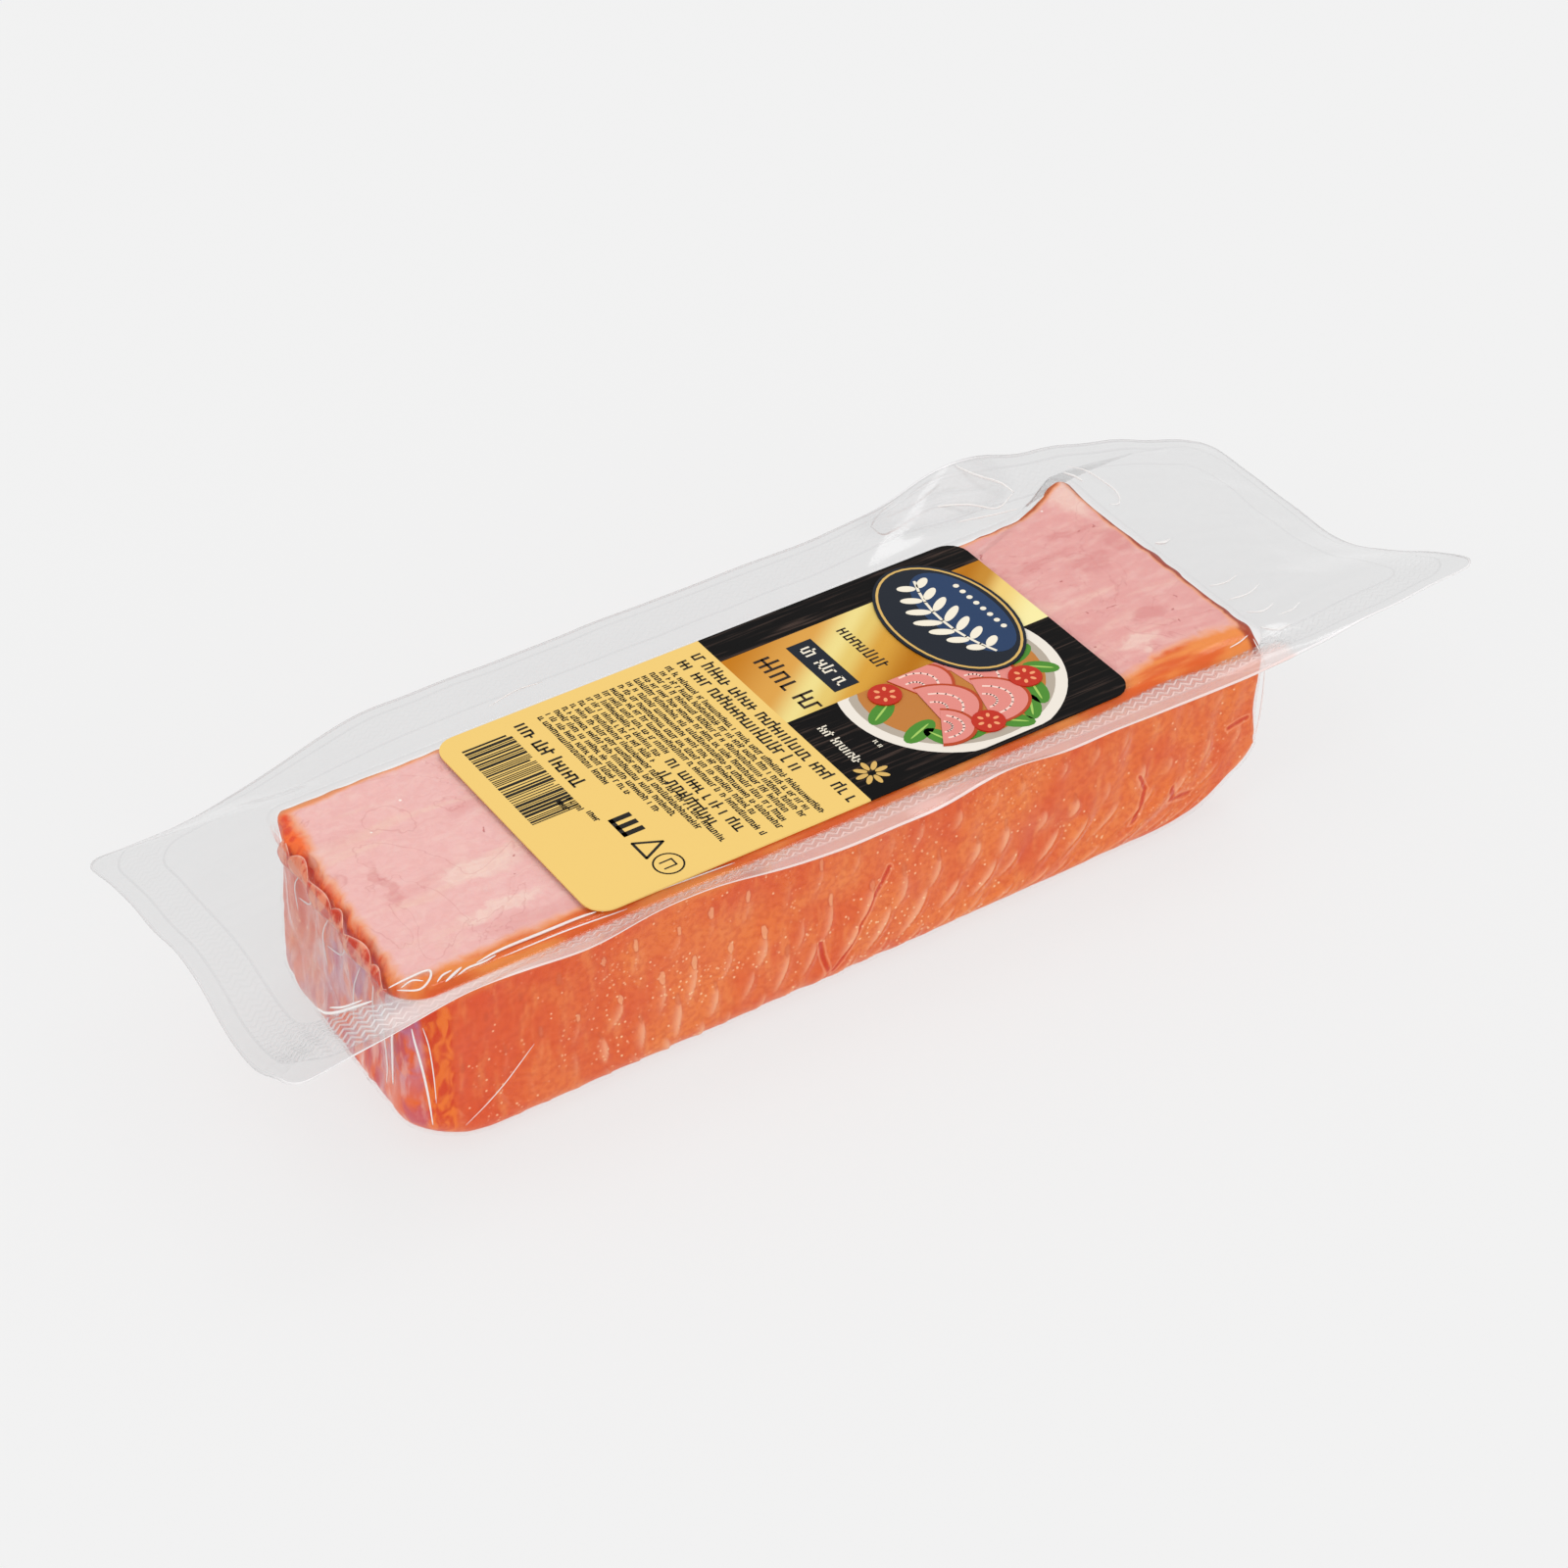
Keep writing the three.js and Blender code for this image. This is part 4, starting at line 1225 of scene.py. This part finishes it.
def slabs(name, ink_groups, material):
    """One piece of closed upright slabs from groups of (outlines (k, m, 2), layer number)."""
    points, corners, counts, start = [], [], [], 0
    for outlines, layer in ink_groups:
        outlines = np.asarray(outlines, float)
        k, m, _ = outlines.shape
        low = np.dstack([outlines, np.full((k, m), INK_LOW)])
        high = np.dstack([outlines, np.full((k, m), INK_TOP + INK_STEP * layer)])
        points.append(np.stack([low, high], axis=1).reshape(-1, 3))
        here = start + np.arange(k * 2 * m).reshape(k, 2, m)
        following = np.roll(here, -1, axis=2)
        sides = np.stack([here[:, 0], following[:, 0], following[:, 1], here[:, 1]], axis=-1)
        corners += [sides.ravel(), here[:, 1].ravel(), here[:, 0, ::-1].ravel()]
        counts += [np.full(k * m, 4), np.full(2 * k, m)]
        start += k * 2 * m
    make_piece(name, make_mesh(name, np.vstack(points), np.concatenate(corners),
                               np.concatenate(counts), smooth=False), material)


def ink(name, text, roughness=0.4):
    """A printing ink, dried to one flat colour with a satin sheen like the paper's."""
    m = new_material(name)
    add(m, "output", add(m, "principled", Base_Color=colour(text), Roughness=roughness,
                         Specular_IOR_Level=0.15))
    return m


def boxes(x0, y0, x1, y1):
    """Outlines (k, 4, 2) of upright rectangles."""
    x0, y0, x1, y1 = np.broadcast_arrays(*np.atleast_1d(x0, y0, x1, y1))
    return np.stack([np.stack(p, axis=-1) for p in ((x0, y0), (x1, y0), (x1, y1), (x0, y1))], axis=1)


def text_row(x, start, end, height, seed, stroke=0.26):
    """Strokes in words along -y between start and end: uprights, and bars that join some of them."""
    rng = np.random.default_rng(seed)
    pitch = 0.52 * height
    count = int((start - end) / pitch) + 2
    gaps = pitch * (1 + 1.3 * (rng.random(count) < 0.15))
    y = start - np.cumsum(gaps)
    y = y[y > end]
    tall = height * np.where(rng.random(len(y)) < 0.2, 1.3, 1.0)
    foot = x - height / 2
    uprights = boxes(foot, y, foot + tall, y + stroke)
    bar_at = foot + rng.choice([0.0, 0.45, 0.85], len(y)) * height
    bars = boxes(bar_at, y - 0.62 * pitch, bar_at + 0.8 * stroke, y + stroke)
    return np.vstack([uprights, bars[rng.random(len(y)) < 0.75]])


def strokes(path, width):
    """Outlines of the straight pieces of a line of some width, each a little longer than its piece."""
    p = np.array(path, float)
    along = p[1:] - p[:-1]
    along /= np.linalg.norm(along, axis=1)[:, None]
    side = width / 2 * np.stack([-along[:, 1], along[:, 0]], axis=1)
    a, b = p[:-1] - along * width * 0.3, p[1:] + along * width * 0.3
    return np.stack([a - side, b - side, b + side, a + side], axis=1)


def bent_round(x, y, long, wide, degrees, angle):
    """Points (1, n, 2) of an ellipse at some angles; its axes are turned counter-clockwise by degrees."""
    c, s = math.cos(math.radians(degrees)), math.sin(math.radians(degrees))
    u, v = long * np.cos(angle), wide * np.sin(angle)
    return np.stack([x + u * c - v * s, y + u * s + v * c], axis=-1)[None]


def oval(x, y, long, wide, degrees=0.0, count=28):
    """Outline (1, count, 2) of an ellipse with half axes long and wide."""
    return bent_round(x, y, long, wide, degrees, 2 * math.pi * np.arange(count) / count)


# %% Text, bar code and signs in black
FINE_PITCH = 1.56  # mm from row to row of the fine text
FINE_ENDS = (-24.2, -22.6, -24, -21.4, -23.8, -24.1, -19, -24, 2.4, 2.6, 1.8, -21.5, -16.8, -11.6,
             -9.4, -3.5, 0.9)  # y where each row ends
BARS = 36

black = [(text_row(-0.2, 23.2, -24.4, 1.9, 1, 0.42), 0), (text_row(-3.2, 22.9, -13.2, 1.9, 2, 0.42), 0)]
for row, end in enumerate(FINE_ENDS):
    black.append((text_row(-6 - FINE_PITCH * row, 22.6, end, 0.95, 10 + row), 0))
black += [(text_row(-19.3, 1.2, -21.1, 1.7, 40, 0.4), 0), (text_row(-22.1, -0.8, -19, 1.7, 41, 0.4), 0),
          (text_row(-34.9, 23, 3.4, 2.0, 42, 0.48), 0),
          (text_row(-38.0, 1.6, -2.6, 0.9, 43), 0), (text_row(-39.8, 2.4, -1.2, 0.9, 44), 0),
          (text_row(-37.2, -3.2, -6.2, 0.9, 45), 0)]
rng = np.random.default_rng(5)
widths = rng.choice([0.22, 0.22, 0.42, 0.62], BARS)
bar_y = 21.5 - np.cumsum(widths + rng.choice([0.22, 0.22, 0.4], BARS))
black.append((boxes(-46.4, bar_y, -37.4 - 0.7 * (np.arange(BARS) % 12 == 0), bar_y + widths), 0))
circle = oval(-33.4, -21.6, 2.5, 2.5)[0]
black += [(strokes(np.vstack([circle, circle[:1]]), 0.3), 0),
          (strokes([(-34.6, -22.4), (-32.4, -22.4), (-32.4, -20.8), (-34.6, -20.8)], 0.3), 0),
          (strokes([(-35.6, -14.2), (-31.2, -16.4), (-35.6, -18.6), (-35.6, -14.2)], 0.5), 0),
          (boxes(-35.8, np.array([-8.2, -10.2, -12.2]), -31.8, np.array([-7.1, -9.1, -11.1])), 0),
          (boxes(-35.8, -12.2, -35, -7.1), 0)]
slabs("print_black", black, ink("black printing ink", "#1c1813"))

# %% [markdown]
# The dark half has rows of larger strokes, a small dark tablet, and an oval badge with a plain sprig:
# pairs of oval leaves along a bent stem. Ovals of several inks lie on each other, each layer a little
# higher, so that none of them flickers through the next.

# %% Rows, tablet and badge on the dark half
BADGE = (41.6, 7.2)  # its centre; it is printed over the serving, so its layers start at 26
brown = [(text_row(8.3, 16.4, -0.6, 3.1, 50, 0.6), 0), (text_row(24.4, 15.6, 2.4, 1.9, 51, 0.4), 0)]
slabs("print_brown", brown, ink("dark brown printing ink", "#2a1a10"))

tablet = boxes(13.6, 0.8, 18.6, 15.6)
navy = [(oval(*BADGE, 10.9, 16.9, count=44), 26), (oval(*BADGE, 9.9, 15.8, count=44), 28),
        (tablet, 1)]
slabs("print_navy", navy, ink("navy printing ink", "#0f1825", 0.3))
slabs("print_blue", [(oval(BADGE[0] + 2.9, BADGE[1], 6.2, 13.2, count=40), 29)],
      ink("blue printing ink", "#1f3a60", 0.3))

gold = [(oval(*BADGE, 10.35, 16.3, count=44), 27)]
rosette = [oval(6.4 + 1.9 * math.cos(a), -20.4 + 1.9 * math.sin(a), 1.2, 0.5, math.degrees(a), 12)
           for a in np.arange(8) * math.pi / 4]
gold += [(petal, 1) for petal in rosette]
slabs("print_gold", gold, ink("gold printing ink", "#d8b062", 0.3))

cream = [(text_row(16.1, 14.6, 1.8, 2.0, 52, 0.42), 2), (text_row(6.2, -4.4, -16.6, 1.4, 53, 0.3), 0),
         (text_row(11.6, -13.4, -16.2, 0.8, 54, 0.2), 0)]


def stem_x(y):
    """x of the sprig's stem, which bends as a flat parabola."""
    return BADGE[0] - 1.5 + 0.018 * (y - 7) ** 2


cream.append((strokes([(stem_x(y), y) for y in np.linspace(-5, 19, 9)], 0.5), 30))
for i, y in enumerate(np.linspace(-3.4, 17, 7)):
    size = 2.5 - 0.28 * abs(i - 3)
    for side, lean in ((size, 32), (-size, 148)):
        cream.append((oval(stem_x(y) + side, y + 1, size, 0.85, lean), 30))
cream += [(oval(BADGE[0] + 6.4, y, 0.55, 0.55, count=12), 30) for y in np.linspace(0, 14, 8)]
slabs("print_cream", cream, ink("cream printing ink", "#f3ead6"))

# %% [markdown]
# The picture of a serving is stacked like paper cut-outs: plate, its shade, toast, leaves, a fan of
# folded slices and tomato rounds. The plate is cut off where the gold band begins.

# %% Serving on the dark half
PLATE = (31.5, -7.2)  # its centre
PRINT_FRONT = -25.4  # y of the label's front edge, as far as the print goes


def cut_off(outline):
    """The part of an outline that lies in front of the gold band and on the label."""
    flat = outline.copy()
    flat[:, :, 1] = np.clip(flat[:, :, 1], PRINT_FRONT, BAND_FRONT)
    return flat


def folded(x, y, long, wide, degrees, count=22):
    """Outline (1, count, 2) of half an ellipse, like a slice folded over; x, y is the fold's middle."""
    return bent_round(x, y, long, wide, degrees, np.linspace(0, math.pi, count))


for layer, (piece, long, wide, count, ink_name, tone) in enumerate((
        ("print_plate", 20, 19.4, 64, "cream plate ink", "#ece4d8"),
        ("print_plate_shade", 18, 17.2, 64, "grey plate ink", "#b4a898"),
        ("print_toast", 16.4, 15.6, 48, "toast brown ink", "#c07a34"))):
    slabs(piece, [(cut_off(oval(*PLATE, long, wide, count=count)), layer)], ink(ink_name, tone))

leaves, veins = [], []
for at, x, y, size in (
        (20, 45, -7.5, 3.8), (75, 42, -17.4, 3.8), (140, 34, -22, 3.6), (200, 19.2, -15.8, 3.8),
        (320, 46.5, -12.6, 3.2), (170, 25.6, -20.6, 3.6), (60, 38.6, -20.6, 3.4),
        (30, 16.8, -8.2, 3.6), (110, 21.2, -18.8, 3.2), (0, 43.2, -3.6, 3.4)):
    leaves.append((cut_off(oval(x, y, size, size * 0.5, at, 16)), 3))
    veins.append((cut_off(oval(x, y, size * 0.7, 0.22, at, 10)), 4))
slabs("print_leaves", leaves, ink("leaf green ink", "#4a8a2a"))
slabs("print_leaf_veins", veins, ink("pale green ink", "#a4ca60"))

# %% Slices and tomatoes
slices = ((33.6, -4.4, 6.6, 8.6, -62), (33.8, -9.6, 6.8, 9.2, -82), (32.6, -15, 6.6, 8.4, -106),
          (24.6, -6.2, 6.4, 8.4, -70), (24.2, -12.4, 6.8, 8.8, -96), (22.8, -17, 5, 6, -122))
rind, meat, fat = [], [], []
for i, (x, y, long, wide, at) in enumerate(slices):
    rind.append((cut_off(folded(x, y, long, wide, at)), 4 + 3 * i))
    meat.append((cut_off(folded(x, y, long - 0.5, wide - 0.6, at)), 5 + 3 * i))
    for share in (0.3, 0.62):
        arc = folded(x, y, long * share, wide * share, at, 12)[0]
        fat.append((cut_off(strokes(arc[1:-1], 0.4)), 6 + 3 * i))
slabs("print_rind", rind, ink("rind orange ink", "#b8431c"))
slabs("print_meat", meat, ink("ham pink ink", "#e28a80"))
slabs("print_fat", fat, ink("pale pink ink", "#f6d2c6"))
tomatoes = ((20, -4.6), (42.6, -13.4), (30.2, -20))
slabs("print_tomato", [(cut_off(oval(x, y, 2.9, 2.9)), 24) for x, y in tomatoes],
      ink("tomato red ink", "#c02a14"))
seeds = [(cut_off(oval(x + 1.5 * math.cos(a), y + 1.5 * math.sin(a), 0.55, 0.34, math.degrees(a), 10)), 25)
         for x, y in tomatoes for a in np.arange(6) * math.pi / 3]
slabs("print_seeds", seeds, ink("tomato seed ink", "#f0a070"))

# %% [markdown]
# ## Floor and light
#
# The photograph stands on plain pale grey with almost no shadow, as over a lit table. So most of the
# floor's brightness is its own glow, which keeps the shadow faint. An even sky gives the rest, and
# three large soft lamps add the highlights that show the film.

# %% Floor and light
FLOOR_HALF = 3000  # mm from its middle to its sides
FLOOR_GLOW = 0.7
SKY_STRENGTH = 0.84
LAMP_AIM = Vector((0, 0, 20))


def pale_floor():
    """A large pale sheet under the pack, lit a little from below like a photographer's table."""
    m = new_material("pale lit table")
    paper, glow = add(m, "diffuse", colour("#757575")), add(m, "emission", (1, 1, 1, 1), FLOOR_GLOW)
    add(m, "output", add(m, "add shader", paper, glow))
    points = FLOOR_HALF * np.array([(-1, -1, 0), (1, -1, 0), (1, 1, 0), (-1, 1, 0)], float)
    mesh = make_mesh("floor", points, np.arange(4), np.array([4]), smooth=False)
    mesh.materials.append(m)
    floor = bpy.data.objects.new("floor", mesh)
    scene.collection.objects.link(floor)


def soft_lamp(name, at, size, power):
    """A square area lamp at a place in mm, turned to the pack."""
    data = bpy.data.lights.new(name, "AREA")
    data.size = size * MM
    data.energy = power
    lamp = bpy.data.objects.new(name, data)
    aim = (Vector(at) - LAMP_AIM).to_track_quat("Z", "Y").to_matrix().to_4x4()
    lamp.matrix_world = Matrix.Translation(Vector(at) * MM) @ aim
    scene.collection.objects.link(lamp)
    print(f"{name}: {size} mm wide, {power} W")


pale_floor()
soft_lamp("overhead lamp", (1150, 500, 2650), 1000, 11)
soft_lamp("left lamp", (-2300, -500, 1500), 700, 9)
soft_lamp("front lamp", (200, -2500, 900), 900, 9)
scene.world = bpy.data.worlds.new("even sky")
scene.world.use_nodes = True
sky = scene.world.node_tree.nodes["Background"]
sky.inputs["Color"].default_value = (1, 1, 1, 1)
sky.inputs["Strength"].default_value = SKY_STRENGTH
scene.view_settings.view_transform = "Standard"
scene.view_settings.look = "None"
